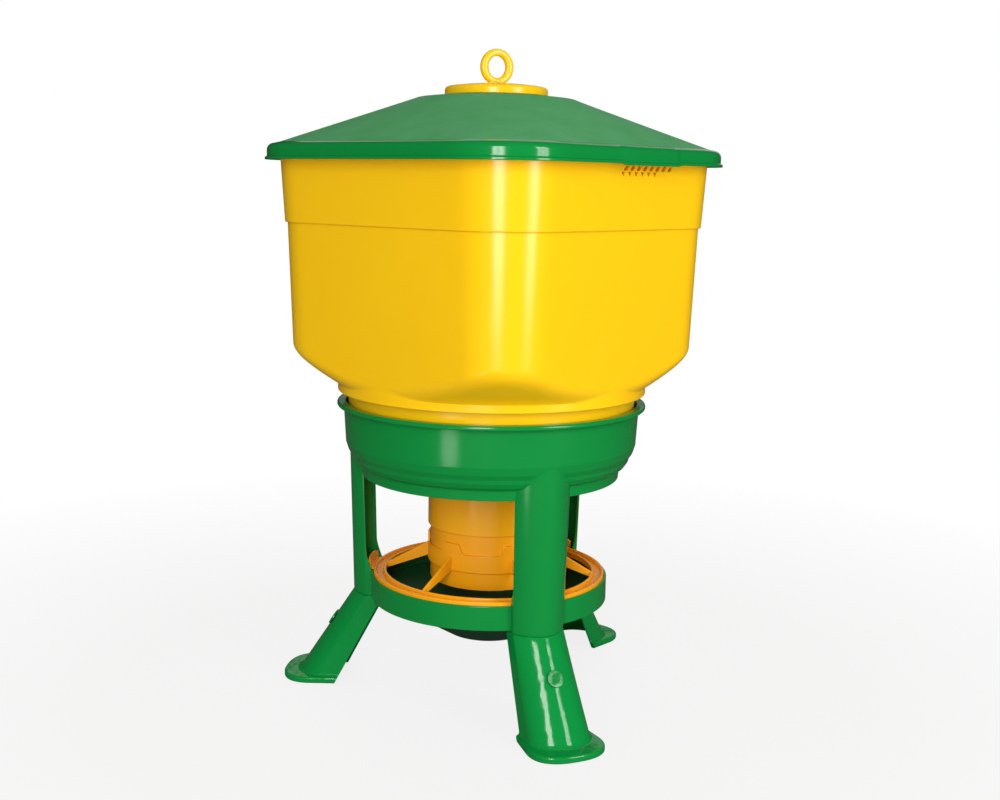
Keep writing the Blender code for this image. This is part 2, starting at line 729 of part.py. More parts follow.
def build_grille():
    """Ring, spokes, castellated sleeve and three keys in the column channels, in one moulding."""
    bead = ring_radius - ring_bead_width
    inner = ring_radius - ring_width
    floor = ring_bottom + ring_floor_rise
    under = floor - ring_floor_wall
    lip = ring_inner_lip
    crest = ring_bead_width * 0.25
    inner_top = ring_top + ring_inner_rise
    grille = turned("grille", [(ring_radius - crest, ring_top), (ring_radius, ring_top - crest),
                               (ring_radius, ring_bottom), (bead, ring_bottom), (bead, under),
                               (inner, under), (inner, inner_top - crest), (inner + crest, inner_top),
                               (inner + lip - crest, inner_top), (inner + lip, inner_top - crest),
                               (inner + lip + crest, floor), (bead - crest, floor),
                               (bead, ring_top - crest), (bead + crest, ring_top)], material=yellow_shade)

    sleeve = turned("sleeve_form", [(sleeve_outer_radius, sleeve_top), (sleeve_outer_radius, sleeve_bottom),
                                    (sleeve_inner_radius, sleeve_bottom), (sleeve_inner_radius, sleeve_top)], helper=True)
    sector = 2.0 * math.pi / spoke_count
    floor_half = sleeve_outer_radius * math.sin(sector * notch_floor_share / 2.0)
    mouth_half = sleeve_outer_radius * math.sin(sector * notch_mouth_share / 2.0)
    rise = notch_depth
    spread = (mouth_half - floor_half) * (1.0 + cut_over / rise)
    outline = [(-floor_half, 0.0), (floor_half, 0.0), (floor_half + spread, rise + cut_over),
               (-floor_half - spread, rise + cut_over)]
    for k in range(spoke_count):
        azimuth = sector * (k + 0.5)
        notch = prism(f"notch_{k}", outline, sleeve_outer_radius * 0.5,
                      azimuth_frame(azimuth, sleeve_outer_radius + cut_over, notch_floor), helper=True)
        combine(sleeve, notch, "DIFFERENCE")
    combine(grille, sleeve, "UNION")

    half = spoke_thickness / 2.0
    root = (sleeve_outer_radius + sleeve_inner_radius) / 2.0
    tip = inner + lip / 2.0
    tip_low = inner_top - crest - spoke_tip_height
    for k in range(spoke_count):
        azimuth = sector * k
        levels = [(root, sleeve_bottom + seat_gap, spoke_root_height), (tip, tip_low, spoke_tip_height)]
        rings = []
        for radius, low, tall in levels:
            corners = [(-half, low), (half, low), (half, low + tall), (-half, low + tall)]
            frame = azimuth_frame(azimuth, radius)
            rings.append([frame @ Vector((across, 0.0, up)) for across, up in corners])
        spoke = skinned(f"spoke_form_{k}", rings, caps=True, helper=True)
        combine(grille, spoke, "UNION")

    reach = ring_radius + key_reach
    low = pan_wall_top + key_clearance
    keys = turned("key_form", [(reach, low + key_height + key_thickness), (reach, low),
                               (bead + ring_bead_width * 0.4, low),
                               (bead + ring_bead_width * 0.4, low + key_thickness),
                               (reach - key_thickness, low + key_thickness),
                               (reach - key_thickness, low + key_height + key_thickness)], helper=True)
    side = 1.3 * reach
    spread = side * math.tan(key_half_angle)
    wedges = []
    for leg in range(leg_count):
        frame = azimuth_frame(leg * 2.0 * math.pi / leg_count)
        corners = [Vector((0.0, -0.3 * reach, 0.0)), Vector((-spread, -side, 0.0)), Vector((spread, -side, 0.0))]
        rings = [[frame @ (p + Vector((0.0, 0.0, height))) for p in corners]
                 for height in (low - cut_over, low + key_height + key_thickness + cut_over)]
        wedges.append(rings)
    points = [p for rings in wedges for ring in rings for p in ring]
    faces = []
    for k in range(leg_count):
        base = 6 * k
        faces += [(base + 2, base + 1, base), (base + 3, base + 4, base + 5)]
        faces += [(base + i, base + (i + 1) % 3, base + 3 + (i + 1) % 3, base + 3 + i) for i in range(3)]
    wedge = new_object("key_wedges", mesh_of("key_wedges", points, faces), helper=True)
    combine(keys, wedge, "INTERSECT")
    combine(grille, keys, "UNION")
    smooth(grille)


def build_pan():
    """Dish that drops into the pan wall and stands on its ledge; the grille stands on the dish's edge."""
    outer = pan_wall_radius - stand_wall - pan_side_clearance
    top = ring_bottom - seat_gap
    base = pan_seat
    ledge_edge = pan_wall_radius - stand_wall - pan_ledge_width - pan_side_clearance
    below = [(outer, top), (outer, base), (ledge_edge, base)]
    bowl = [(ledge_edge * radius_share, base - pan_depth * depth_share)
            for radius_share, depth_share in zip(bowl_radius_shares, bowl_depth_shares)]
    below += bowl + [(0.0, base - pan_depth)]
    above = [(outer - pan_wall, top), (outer - pan_wall, base + pan_wall), (ledge_edge, base + pan_wall)]
    above += [(radius, height + pan_wall) for radius, height in bowl]
    above += [(0.0, base - pan_depth + pan_wall)]
    pan = turned("pan", list(reversed(above)) + below, material=green_shade)
    smooth(pan)


for old in list(bpy.data.objects):
    bpy.data.objects.remove(old)
feeder = new_collection("poultry_feeder")
cutters = new_collection("cutters")
green_gloss = new_material("green_gloss", (0.011, 0.262, 0.048), 0.32)
green_lid = new_material("green_lid", (0.045, 0.260, 0.085), 0.55)
green_shade = new_material("green_shade", (0.010, 0.110, 0.040), 0.5)
yellow_bright = new_material("yellow_bright", (0.93, 0.56, 0.008), 0.30)
yellow_shade = new_material("yellow_shade", (0.86, 0.40, 0.012), 0.35)

build_lid()
build_lid_eye()
build_hopper()
build_stand()
leg_names = ("front", "right", "left")
for leg, leg_name in enumerate(leg_names):
    build_foot(f"foot_{leg_name}", f"foot_pin_{leg_name}", leg * 2.0 * math.pi / leg_count)
build_flow_tube()
build_grille()
build_pan()
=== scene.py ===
import math

import bmesh
import bpy
import numpy as np
from mathutils import Matrix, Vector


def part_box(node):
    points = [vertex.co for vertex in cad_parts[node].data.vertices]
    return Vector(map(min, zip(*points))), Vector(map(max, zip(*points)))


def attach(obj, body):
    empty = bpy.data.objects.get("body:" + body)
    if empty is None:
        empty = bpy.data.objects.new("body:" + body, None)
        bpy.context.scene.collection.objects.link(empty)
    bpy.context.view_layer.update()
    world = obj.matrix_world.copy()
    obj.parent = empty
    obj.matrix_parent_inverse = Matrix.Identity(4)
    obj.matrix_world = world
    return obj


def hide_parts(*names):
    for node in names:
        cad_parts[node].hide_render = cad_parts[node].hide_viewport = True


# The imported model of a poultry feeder: a square hopper in a round seat on three splayed feet.
# Its pieces are injection mouldings in green and yellow polypropylene.
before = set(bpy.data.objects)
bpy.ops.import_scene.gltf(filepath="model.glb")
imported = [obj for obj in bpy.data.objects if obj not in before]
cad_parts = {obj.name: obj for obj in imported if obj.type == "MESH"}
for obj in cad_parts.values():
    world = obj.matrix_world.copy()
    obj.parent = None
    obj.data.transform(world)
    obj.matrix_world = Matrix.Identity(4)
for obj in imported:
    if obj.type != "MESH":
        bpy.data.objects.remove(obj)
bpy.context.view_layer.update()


# Stand
# The stand is one green moulding: a stepped seat ring for the hopper, three channel columns and the
# wall that holds the feed pan. It comes glossy from a polished mould, and its edges are all rounded.
seat_gap = 0.0003
stand_wall = 0.0032
lip_radius = 0.2202
lip_height = 0.0065
seat_wall_top_radius = 0.2110
seat_wall_low_radius = 0.2080
seat_wall_height = 0.0515
waist_height = 0.0345
skirt_radius = 0.1850
skirt_low_radius = 0.1845
skirt_height = 0.0142
shelf_rise = 0.019
shelf_radius = 0.1988
shelf_step = 0.0033
column_slant = 0.0064
column_top_half_width = 0.0405
column_side_depth = 0.027
column_arch_depth = 0.0255
column_arch_power = 0.90
pan_wall_radius = 0.172
pan_wall_rise = 0.002
pan_wall_height = 0.0343
pan_ledge_width = 0.0105
pan_ledge_thickness = 0.003
gusset_height = 0.030
tongue_half_width = 0.016
tongue_length = 0.074
tongue_wall = 0.0040
tongue_root_height = 0.020
foot_lean = math.radians(33.0)
foot_wall = 0.0032
foot_top_half_width = 0.0375
pin_drop = 0.057
pin_shank_radius = 0.0050
pin_shank_length = 0.0130
leg_azimuths = [leg * 2.0 * math.pi / 3.0 for leg in range(3)]
leg_names = ("front", "right", "left")
stand_edge = 0.0012        # rounding of small steps in a moulded face
seam_groove = 0.0007       # how far the edges at the seam of column and foot draw in
fine_turn = 192            # columns round a large turned piece
small_turn = 64            # columns round a pin, a stem or a bore
# The waist goes in by steps: the corners as shares of its width and its height, from the top down
waist_steps = [(0.85, 0.69), (0.65, 0.49), (0.585, 0.33), (0.39, 0.14), (0.04, 0.0)]
# The rounding of each corner of a turned outline, in the order of its path
seat_rounds = [0.0030, 0.0022, 0.0012, 0.0040, 0.0060, 0.0030, 0.0022, 0.0040, 0.0015, 0.0010,
               0.0010, 0.0030, 0.0040, 0.0, 0.0008, 0.0010, 0.0030, 0.0020, 0.0012]
pan_wall_rounds = [0.0012, 0.0012, 0.0008, 0.0006, 0.0006, 0.0008]

seam_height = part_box("foot_front")[1].z + seat_gap
lip_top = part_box("stand")[1].z
seat_wall_low = lip_top - lip_height - seat_wall_height
skirt_top = seat_wall_low - waist_height
skirt_bottom = skirt_top - skirt_height
pan_wall_bottom = seam_height + pan_wall_rise
pan_wall_top = pan_wall_bottom + pan_wall_height
column_top_radius = seat_wall_low_radius - stand_wall / 3.0
column_foot_radius = column_top_radius - column_slant
slant = 1.0 / math.cos(foot_lean)


def unit(vectors):
    """Each vector divided by its length, and a zero vector left as it is."""
    return vectors / np.maximum(np.linalg.norm(vectors, axis=-1, keepdims=True), 1e-12)


def full_turn(count):
    """Evenly spaced angles, once round."""
    return np.linspace(0.0, 2.0 * math.pi, count, endpoint=False)


def rounded(path, rounds, steps=6):
    """Round the corners of a closed path, for every column of a skin at once.

    A corner is (across, up), each one number or an array with a value for each column. An arc of the
    corner's radius touches both of its sides. A point of the arc is the sum of its two end radii with
    the weights sin((1-s)t) / sin t and sin(st) / sin t, where t is the corner's turn.
    """
    across, up = zip(*path)
    rounds = np.broadcast_to(rounds, len(across))
    level = np.zeros(max(np.size(place) for place in across + up))
    here = np.stack([np.stack([place + level for place in side]) for side in (across, up)], axis=-1)
    to_here = here - np.roll(here, 1, axis=0)
    from_here = np.roll(here, -1, axis=0) - here
    room = 0.48 * np.minimum(np.linalg.norm(to_here, axis=-1), np.linalg.norm(from_here, axis=-1))
    into, out = unit(to_here), unit(from_here)
    turn = np.arccos(np.clip((into * out).sum(axis=-1), -1.0, 1.0))
    half = np.maximum(np.tan(turn / 2.0), 1e-9)
    radius = np.minimum(rounds[:, None] * np.ones_like(turn), room / half)
    reach = (radius * half)[..., None]
    centre = here + unit(out - into) * (radius / np.cos(turn / 2.0))[..., None]
    first = here - into * reach - centre
    last = here + out * reach - centre
    share = np.linspace(0.0, 1.0, steps)[:, None, None, None]
    angle = turn[..., None]
    sine = np.maximum(np.sin(angle), 1e-9)
    bent = centre + (np.sin((1.0 - share) * angle) * first + np.sin(share * angle) * last) / sine
    straight = here - into * reach + (into + out) * reach * share
    arcs = np.where(angle > 1e-3, bent, straight)
    rows = [arcs[:1, k] if rounding == 0.0 else arcs[:, k] for k, rounding in enumerate(rounds)]
    corners = np.concatenate(rows)
    return corners[..., 0], corners[..., 1]


def turned_grid(radii, heights, azimuths):
    """Points of a skin round the upright axis: (radius sin a, -radius cos a, height)."""
    radii, heights, azimuths = np.broadcast_arrays(radii, heights, azimuths)
    return np.stack([radii * np.sin(azimuths), -radii * np.cos(azimuths), heights], axis=-1)


def leg_grid(across, inwards, face_radius, heights, azimuth):
    """Points of a leg's sections: the face stands face_radius from the axis, turned to its azimuth."""
    y = inwards - face_radius
    return np.stack([across * np.cos(azimuth) - y * np.sin(azimuth),
                     across * np.sin(azimuth) + y * np.cos(azimuth),
                     heights + np.zeros_like(across)], axis=-1)


def skin(grid, wrap_rows=True, wrap_columns=True):
    """Quads between the neighbouring rows and columns of a grid of points."""
    rows, columns = grid.shape[:2]
    row = np.arange(rows if wrap_rows else rows - 1)[:, None]
    column = np.arange(columns if wrap_columns else columns - 1)[None, :]
    next_row = (row + 1) % rows
    next_column = (column + 1) % columns
    corners = [row * columns + column, row * columns + next_column,
               next_row * columns + next_column, next_row * columns + column]
    return grid.reshape(-1, 3), np.stack(corners, axis=-1).reshape(-1, 4)


def channel_skin(grid):
    """Skin of an outline whose second half runs back along the first, with both ends closed.

    The outline runs down the rows and the sections run along the columns. An end is closed by quads
    between each side of the outline's first half and the side that lies opposite to it.
    """
    points, faces = skin(grid, wrap_columns=False)
    count, columns = grid.shape[:2]
    k = np.arange(count // 2 - 1)
    pairs = np.stack([k, k + 1, count - 2 - k, count - 1 - k], axis=-1) * columns
    return points, np.concatenate([faces, pairs, pairs[:, ::-1] + columns - 1])


def turned_skin(path, rounds, azimuths=full_turn(fine_turn), wrap_rows=True, steps=6):
    """Skin of a path of (radius, height) corners with roundings, turned round the upright axis."""
    return skin(turned_grid(*rounded(path, rounds, steps), azimuths), wrap_rows)


def add_object(name, data):
    """New object of the scene that holds the given data."""
    item = bpy.data.objects.new(name, data)
    bpy.context.scene.collection.objects.link(item)
    return item


def solid(name, skins, sharp=40.0):
    """One object from closed skins: doubles merged, faces turned outwards, smooth but for sharp edges."""
    starts = np.cumsum([0] + [len(points) for points, _ in skins])
    points = np.concatenate([points for points, _ in skins])
    faces = np.concatenate([faces + start for (_, faces), start in zip(skins, starts)])
    mesh = bpy.data.meshes.new(name)
    mesh.vertices.add(len(points))
    mesh.vertices.foreach_set("co", points.astype(np.float32).ravel())
    mesh.loops.add(faces.size)
    mesh.loops.foreach_set("vertex_index", faces.astype(np.int32).ravel())
    mesh.polygons.add(len(faces))
    mesh.polygons.foreach_set("loop_start", np.arange(0, faces.size, 4, dtype=np.int32))
    mesh.update()
    builder = bmesh.new()
    builder.from_mesh(mesh)
    bmesh.ops.remove_doubles(builder, verts=builder.verts, dist=2e-6)
    bmesh.ops.dissolve_degenerate(builder, edges=builder.edges, dist=1e-6)
    bmesh.ops.recalc_face_normals(builder, faces=builder.faces)
    builder.to_mesh(mesh)
    builder.free()
    shape = add_object(name, mesh)
    soften(shape, sharp)
    return shape


def soften(shape, sharp=40.0):
    """Shade a mesh smooth, with creases where its faces meet at more than the sharp angle."""
    shape.data.shade_smooth()
    shape.data.set_sharp_from_angle(angle=math.radians(sharp))


def apply_modifiers(shape):
    """Replace a shape's mesh by what its modifiers make of it."""
    seen = shape.evaluated_get(bpy.context.evaluated_depsgraph_get())
    mesh = bpy.data.meshes.new_from_object(seen)
    shape.modifiers.clear()
    shape.data = mesh


def merge(shape, tool, operation="UNION", sharp=40.0):
    """Join a tool into a shape, or cut it out, and drop the tool."""
    step = shape.modifiers.new("merge", "BOOLEAN")
    step.object = tool
    step.operation = operation
    step.solver = "EXACT"
    apply_modifiers(shape)
    bpy.data.objects.remove(tool)
    soften(shape, sharp)


def face_table(mesh):
    """The centre and the normal of each face of a mesh, as two arrays."""
    table = np.empty((2, len(mesh.polygons) * 3))
    mesh.polygons.foreach_get("center", table[0])
    mesh.polygons.foreach_get("normal", table[1])
    return table.reshape(2, -1, 3)


def coat(piece, *materials):
    """Give a piece its materials in place of any that it has."""
    piece.data.materials.clear()
    for material in materials:
        piece.data.materials.append(material)


def finish_piece(piece, body, slot, *nodes):
    """Even out the shading by face size, and let the piece ride its body in place of its CAD nodes."""
    even = piece.modifiers.new("even shading", "WEIGHTED_NORMAL")
    even.keep_sharp = True
    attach(piece, body)
    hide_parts(*nodes)


def linear(colour):
    """Linear colour of an sRGB hex value: c / 12.92 up to 0.04045, else ((c + 0.055) / 1.055) ** 2.4."""
    parts = np.array([int(colour[k:k + 2], 16) / 255.0 for k in (0, 2, 4)])
    parts = np.where(parts <= 0.04045, parts / 12.92, ((parts + 0.055) / 1.055) ** 2.4)
    return (*parts, 1.0)


def set_inputs(tree, node, inputs):
    """Set a node's inputs, each to a value or to a link from a socket."""
    for name, value in inputs.items():
        if isinstance(value, bpy.types.NodeSocket):
            tree.links.new(value, node.inputs[name])
        else:
            node.inputs[name].default_value = value


def add_node(tree, kind, inputs=None, **settings):
    """Add a node with its own properties as settings, and with its inputs."""
    node = tree.nodes.new(kind)
    for name, value in settings.items():
        setattr(node, name, value)
    set_inputs(tree, node, inputs or {})
    return node


def new_material(name):
    """New material with its node tree, its shader and the socket of the piece's own coordinates."""
    material = bpy.data.materials.new(name)
    material.use_nodes = True
    tree = material.node_tree
    place = add_node(tree, "ShaderNodeTexCoord").outputs["Object"]
    return material, tree, tree.nodes["Principled BSDF"], place


# Surface of injection-moulded polypropylene: widths and heights of its textures
flow_width = 0.11          # flow marks of the dye
scuff_length = 0.030       # pale scuffs from handling
scuff_strength = 0.30
peel_width = 0.0016        # orange peel of the skin
peel_rise = 0.00006
polypropylene_ior = 1.49


def moulded_polypropylene(name, colour, flow_colour, gloss, scuff_colour, wave_rise=0.0008,
                          wave_width=0.055):
    """Injection-moulded polypropylene: an even dyed body with faint flow marks from the mould.

    Its sheen comes from the mould's polish. The skin has a fine orange peel and the walls shrink
    into a slight waviness, so a highlight's edge wanders a little. Handling leaves pale scuffs.
    """
    material, tree, shader, place = new_material(name)
    flow = add_node(tree, "ShaderNodeTexNoise", {"Vector": place, "Scale": 1.0 / flow_width,
                                                 "Detail": 4.0, "Distortion": 0.6})
    body = add_node(tree, "ShaderNodeMix", {"Factor": flow.outputs["Fac"], "A": linear(colour),
                                            "B": linear(flow_colour)}, data_type="RGBA")
    stretch = add_node(tree, "ShaderNodeMapping", {"Vector": place, "Scale": (1.0, 1.0, 9.0),
                                                   "Rotation": (0.5, 0.3, 0.2)})
    scratch = add_node(tree, "ShaderNodeTexNoise", {"Vector": stretch.outputs["Vector"], "Detail": 6.0,
                                                    "Scale": 1.0 / scuff_length, "Roughness": 0.7})
    worn = add_node(tree, "ShaderNodeMapRange", {"Value": scratch.outputs["Fac"], "From Min": 0.66,
                                                 "From Max": 0.82, "To Max": scuff_strength})
    tint = add_node(tree, "ShaderNodeMix", {"Factor": worn.outputs["Result"], "A": body.outputs["Result"],
                                            "B": linear(scuff_colour)}, data_type="RGBA")
    rough = add_node(tree, "ShaderNodeMapRange", {"Value": scratch.outputs["Fac"], "To Min": gloss - 0.03,
                                                  "To Max": gloss + 0.09})
    peel = add_node(tree, "ShaderNodeTexNoise", {"Vector": place, "Scale": 1.0 / peel_width,
                                                 "Detail": 2.0})
    wave = add_node(tree, "ShaderNodeTexNoise", {"Vector": place, "Scale": 1.0 / wave_width,
                                                 "Detail": 1.0})
    skin_bump = add_node(tree, "ShaderNodeBump", {"Height": peel.outputs["Fac"], "Strength": 0.25,
                                                  "Distance": peel_rise})
    wave_bump = add_node(tree, "ShaderNodeBump", {"Height": wave.outputs["Fac"], "Strength": 0.5,
                                                  "Distance": wave_rise,
                                                  "Normal": skin_bump.outputs["Normal"]})
    set_inputs(tree, shader, {"Base Color": tint.outputs["Result"], "Roughness": rough.outputs["Result"],
                              "Normal": wave_bump.outputs["Normal"], "IOR": polypropylene_ior,
                              "Specular IOR Level": 0.5})
    return material


green_glossy = moulded_polypropylene("green_glossy_polypropylene", "088237", "09893b", 0.14, "3f9f5c")


def seat_ring_skin():
    """Turned outline of the seat: lip, wall, the stepped waist, the skirt, and the shelf inside."""
    wall = stand_wall
    waist = seat_wall_low_radius - skirt_radius
    shelf = skirt_top + shelf_rise
    shelf_inner = shelf_radius - shelf_step
    path = [(lip_radius, lip_top), (lip_radius, lip_top - lip_height),
            (seat_wall_top_radius, lip_top - lip_height), (seat_wall_low_radius, seat_wall_low)]
    path += [(skirt_radius + waist * out, skirt_top + waist_height * up) for out, up in waist_steps]
    path += [(skirt_low_radius, skirt_bottom), (skirt_low_radius - wall, skirt_bottom),
             (skirt_radius - wall, skirt_top + wall), (shelf_inner - wall, skirt_top + 0.45 * shelf_rise),
             (shelf_inner, skirt_top + 0.75 * shelf_rise), (shelf_inner, shelf),
             (shelf_radius + wall / 4.0, shelf),
             (seat_wall_low_radius - wall * 1.2, shelf + 0.45 * (seat_wall_low - shelf)),
             (seat_wall_low_radius - wall, seat_wall_low), (seat_wall_top_radius - wall, lip_top)]
    return turned_skin(path, seat_rounds)


def pan_wall_skin():
    """Turned outline of the wall round the pan, with the ledge that the pan stands on."""
    inner = pan_wall_radius - stand_wall
    ledge = inner - pan_ledge_width
    ledge_top = pan_wall_bottom + pan_ledge_thickness
    return turned_skin([(pan_wall_radius, pan_wall_top), (pan_wall_radius, pan_wall_bottom),
                        (ledge, pan_wall_bottom), (ledge, ledge_top), (inner, ledge_top),
                        (inner, pan_wall_top)], pan_wall_rounds)


side_steps = 8             # points down a channel's side wall
arch_steps = 26            # points from a channel's side to the middle of its face


def arch_fall(share, depth, power):
    """How far an arch falls back at a share of its half width: depth * (1 - (1 - share^2)^power).

    A power of one half is an ellipse, and one is a parabola.
    """
    return depth * (1.0 - np.maximum(1.0 - share ** 2, 0.0) ** power)


def channel_outline(half_width, depth, wall, arch_depth, power, strip=0.0, strip_rise=0.0):
    """Outline of a channel open at its back, as (across, inwards) arrays with a column for each section.

    The face is an arch, and the side walls run straight on from it. A strip in the middle of the face
    can stand out by its rise. The outer half comes first, then the inner half, which runs back.
    """
    turn = np.linspace(math.pi / 2.0, 0.0, arch_steps)[:, None]
    side = np.linspace(0.0, 1.0, side_steps)[:-1, None]
    edge = np.clip((strip - half_width * np.sin(turn)) / stand_edge + 0.5, 0.0, 1.0)
    rise = strip_rise * edge ** 2 * (3.0 - 2.0 * edge)

    def half(width, start):
        across = np.concatenate([width + 0.0 * side, width * np.sin(turn)])
        fall = start + arch_fall(np.sin(turn), arch_depth - start, power) + 0.0 * width
        return across, np.concatenate([depth + (arch_depth - depth) * side, fall])

    out_across, out_in = half(half_width, 0.0)
    in_across, in_in = half(half_width - wall, wall)
    out_in[-arch_steps:] -= rise
    across = np.concatenate([out_across, -out_across[::-1], -in_across, in_across[::-1]])
    inwards = np.concatenate([out_in, out_in[::-1], in_in, in_in[::-1]])
    lip = [wall * 0.4] + [0.0] * (len(out_across) - 1)
    return rounded(zip(across, inwards), lip + lip[::-1] + lip + lip[::-1])


def face_radius_of_column(height):
    """The column's face leans out a little, in a straight line from the seam up to the seat wall."""
    share = (height - seam_height) / (seat_wall_low - seam_height)
    return column_foot_radius + column_slant * share


def face_radius_of_foot(height):
    """The foot's face leans outwards from the seam down: the radius grows by tan(lean) with the drop."""
    return column_foot_radius + (seam_height - height) * math.tan(foot_lean)


def column_skin(azimuth):
    """Channel column, open inwards, whose side walls run in to the pan wall over the gusset's height."""
    gusset_top = pan_wall_top + gusset_height
    heights = np.concatenate([[seam_height, seam_height + seam_groove, pan_wall_top],
                              pan_wall_top + gusset_height * np.linspace(0.0, 1.0, 9)[1:],
                              np.linspace(gusset_top, seat_wall_low - 0.10 * waist_height, 8)[1:]])
    run_in = np.clip(1.0 - (heights - pan_wall_top) / gusset_height, 0.0, 1.0) ** 1.5
    share = (heights - seam_height) / (seat_wall_low - seam_height)
    half_width = foot_top_half_width + (column_top_half_width - foot_top_half_width) * share
    groove = np.where(heights == seam_height, seam_groove, 0.0)
    half_width = half_width - groove
    face = face_radius_of_column(heights) - groove
    to_pan = face - np.sqrt((pan_wall_radius - stand_wall / 2.0) ** 2 - half_width ** 2)
    depth = column_side_depth + (to_pan - column_side_depth) * run_in
    across, inwards = channel_outline(half_width, depth, stand_wall, column_arch_depth, column_arch_power)
    return channel_skin(leg_grid(across, inwards, face, heights, azimuth))


def tongue_skin(azimuth):
    """Web that leans like the foot, fused to the column's arch, with a narrow tongue below.

    The tongue stands behind the foot's arch. Where the web meets the column's arch its half width is
    the arch's own: the arch's formula solved for the share of the half width.
    """
    inner_share = tongue_half_width / (foot_top_half_width - foot_wall)
    inner_fall = arch_fall(inner_share, column_arch_depth - foot_wall, column_arch_power)
    near = (foot_wall + seat_gap) * slant + inner_fall
    far = near + tongue_wall * slant
    heights = np.array([seam_height - tongue_length * math.cos(foot_lean), seam_height,
                        seam_height + 2.0 * foot_wall, seam_height + tongue_root_height])
    fall = face_radius_of_column(heights) - face_radius_of_foot(heights) + near
    share = np.sqrt(1.0 - np.clip(1.0 - fall / column_arch_depth, 0.0, 1.0) ** (1.0 / column_arch_power))
    root = foot_top_half_width * share - stand_wall / 2.0
    width = np.where(heights > seam_height, root, tongue_half_width)
    level = np.ones_like(width)
    across = np.stack([width, -width, -width, width])
    inwards = np.stack([near * level, near * level, far * level, far * level])
    return channel_skin(leg_grid(across, inwards, face_radius_of_foot(heights), heights, azimuth))


def pin_frame(azimuth):
    """Origin on the foot's face, and the directions across, up along the face and out of it."""
    height = seam_height - pin_drop * math.cos(foot_lean)
    radial = np.array([math.sin(azimuth), -math.cos(azimuth), 0.0])
    across = np.array([math.cos(azimuth), math.sin(azimuth), 0.0])
    out = radial * math.cos(foot_lean) + np.array([0.0, 0.0, math.sin(foot_lean)])
    origin = radial * face_radius_of_foot(height) + np.array([0.0, 0.0, height])
    return origin, across, np.cross(out, across), out


def pin_grid(radii, rises, azimuth, relief=None):
    """Turned points on a pin's own axis, with a relief added along it."""
    origin, across, along, out = pin_frame(azimuth)
    radii, rises, turn = np.broadcast_arrays(radii, rises, full_turn(small_turn))
    x, y = radii * np.cos(turn), radii * np.sin(turn)
    z = rises + (relief(x, y, radii) if relief else 0.0)
    return origin + x[..., None] * across + y[..., None] * along + z[..., None] * out


def pin_hole(azimuth):
    """Round bar through the foot's face and the tongue, to cut the pin's hole."""
    radius, reach = pin_shank_radius + seat_gap, 2.0 * pin_shank_length
    bore = np.array([[0.0, reach], [radius, reach], [radius, -reach], [0.0, -reach]])
    return skin(pin_grid(bore[:, :1], bore[:, 1:], azimuth), wrap_rows=False)


def seat_bore_skin():
    """The space inside the seat, which is cut out of the columns' tops."""
    into = stand_wall / 3.0
    high = lip_top + stand_wall
    low = skirt_top + shelf_rise - into
    path = [(0.0, high), (seat_wall_top_radius - stand_wall + into, high),
            (seat_wall_low_radius - stand_wall + into, seat_wall_low),
            (shelf_radius + stand_wall / 4.0 + into, low), (0.0, low)]
    return turned_skin(path, 0.0, wrap_rows=False)


stand = solid("stand_moulding", [seat_ring_skin(), pan_wall_skin()])
columns = solid("columns", [column_skin(azimuth) for azimuth in leg_azimuths])
merge(columns, solid("seat_bore", [seat_bore_skin()]), "DIFFERENCE")
merge(stand, columns)
tongues = solid("tongues", [tongue_skin(azimuth) for azimuth in leg_azimuths])
merge(tongues, solid("tongue_holes", [pin_hole(azimuth) for azimuth in leg_azimuths]), "DIFFERENCE")
merge(stand, tongues)
coat(stand, green_glossy)
finish_piece(stand, "base", "green", "stand")


# Feet
# Three green mouldings of one shape: splayed channel legs with a flanged sole. They slide over the
# stand's tongues, and each has a flat strip down the middle of its face.
foot_low_half_width = 0.0445
foot_top_depth = 0.042
foot_low_depth = 0.056
foot_low_arch_depth = 0.031
foot_low_arch_power = 0.5
foot_strip_half_width = 0.0068
foot_strip_rise = 0.0005
sole_reach = 0.0167
sole_nose_length = 0.043
sole_nose_half_width = 0.0535
sole_heel_half_width = 0.0490
sole_nose_square_share = 0.80
sole_thickness = 0.0095
sole_edge_round = 0.0028
sole_fillet = 0.0045
foot_rows = 14             # sections of the leg between its sole and the seam


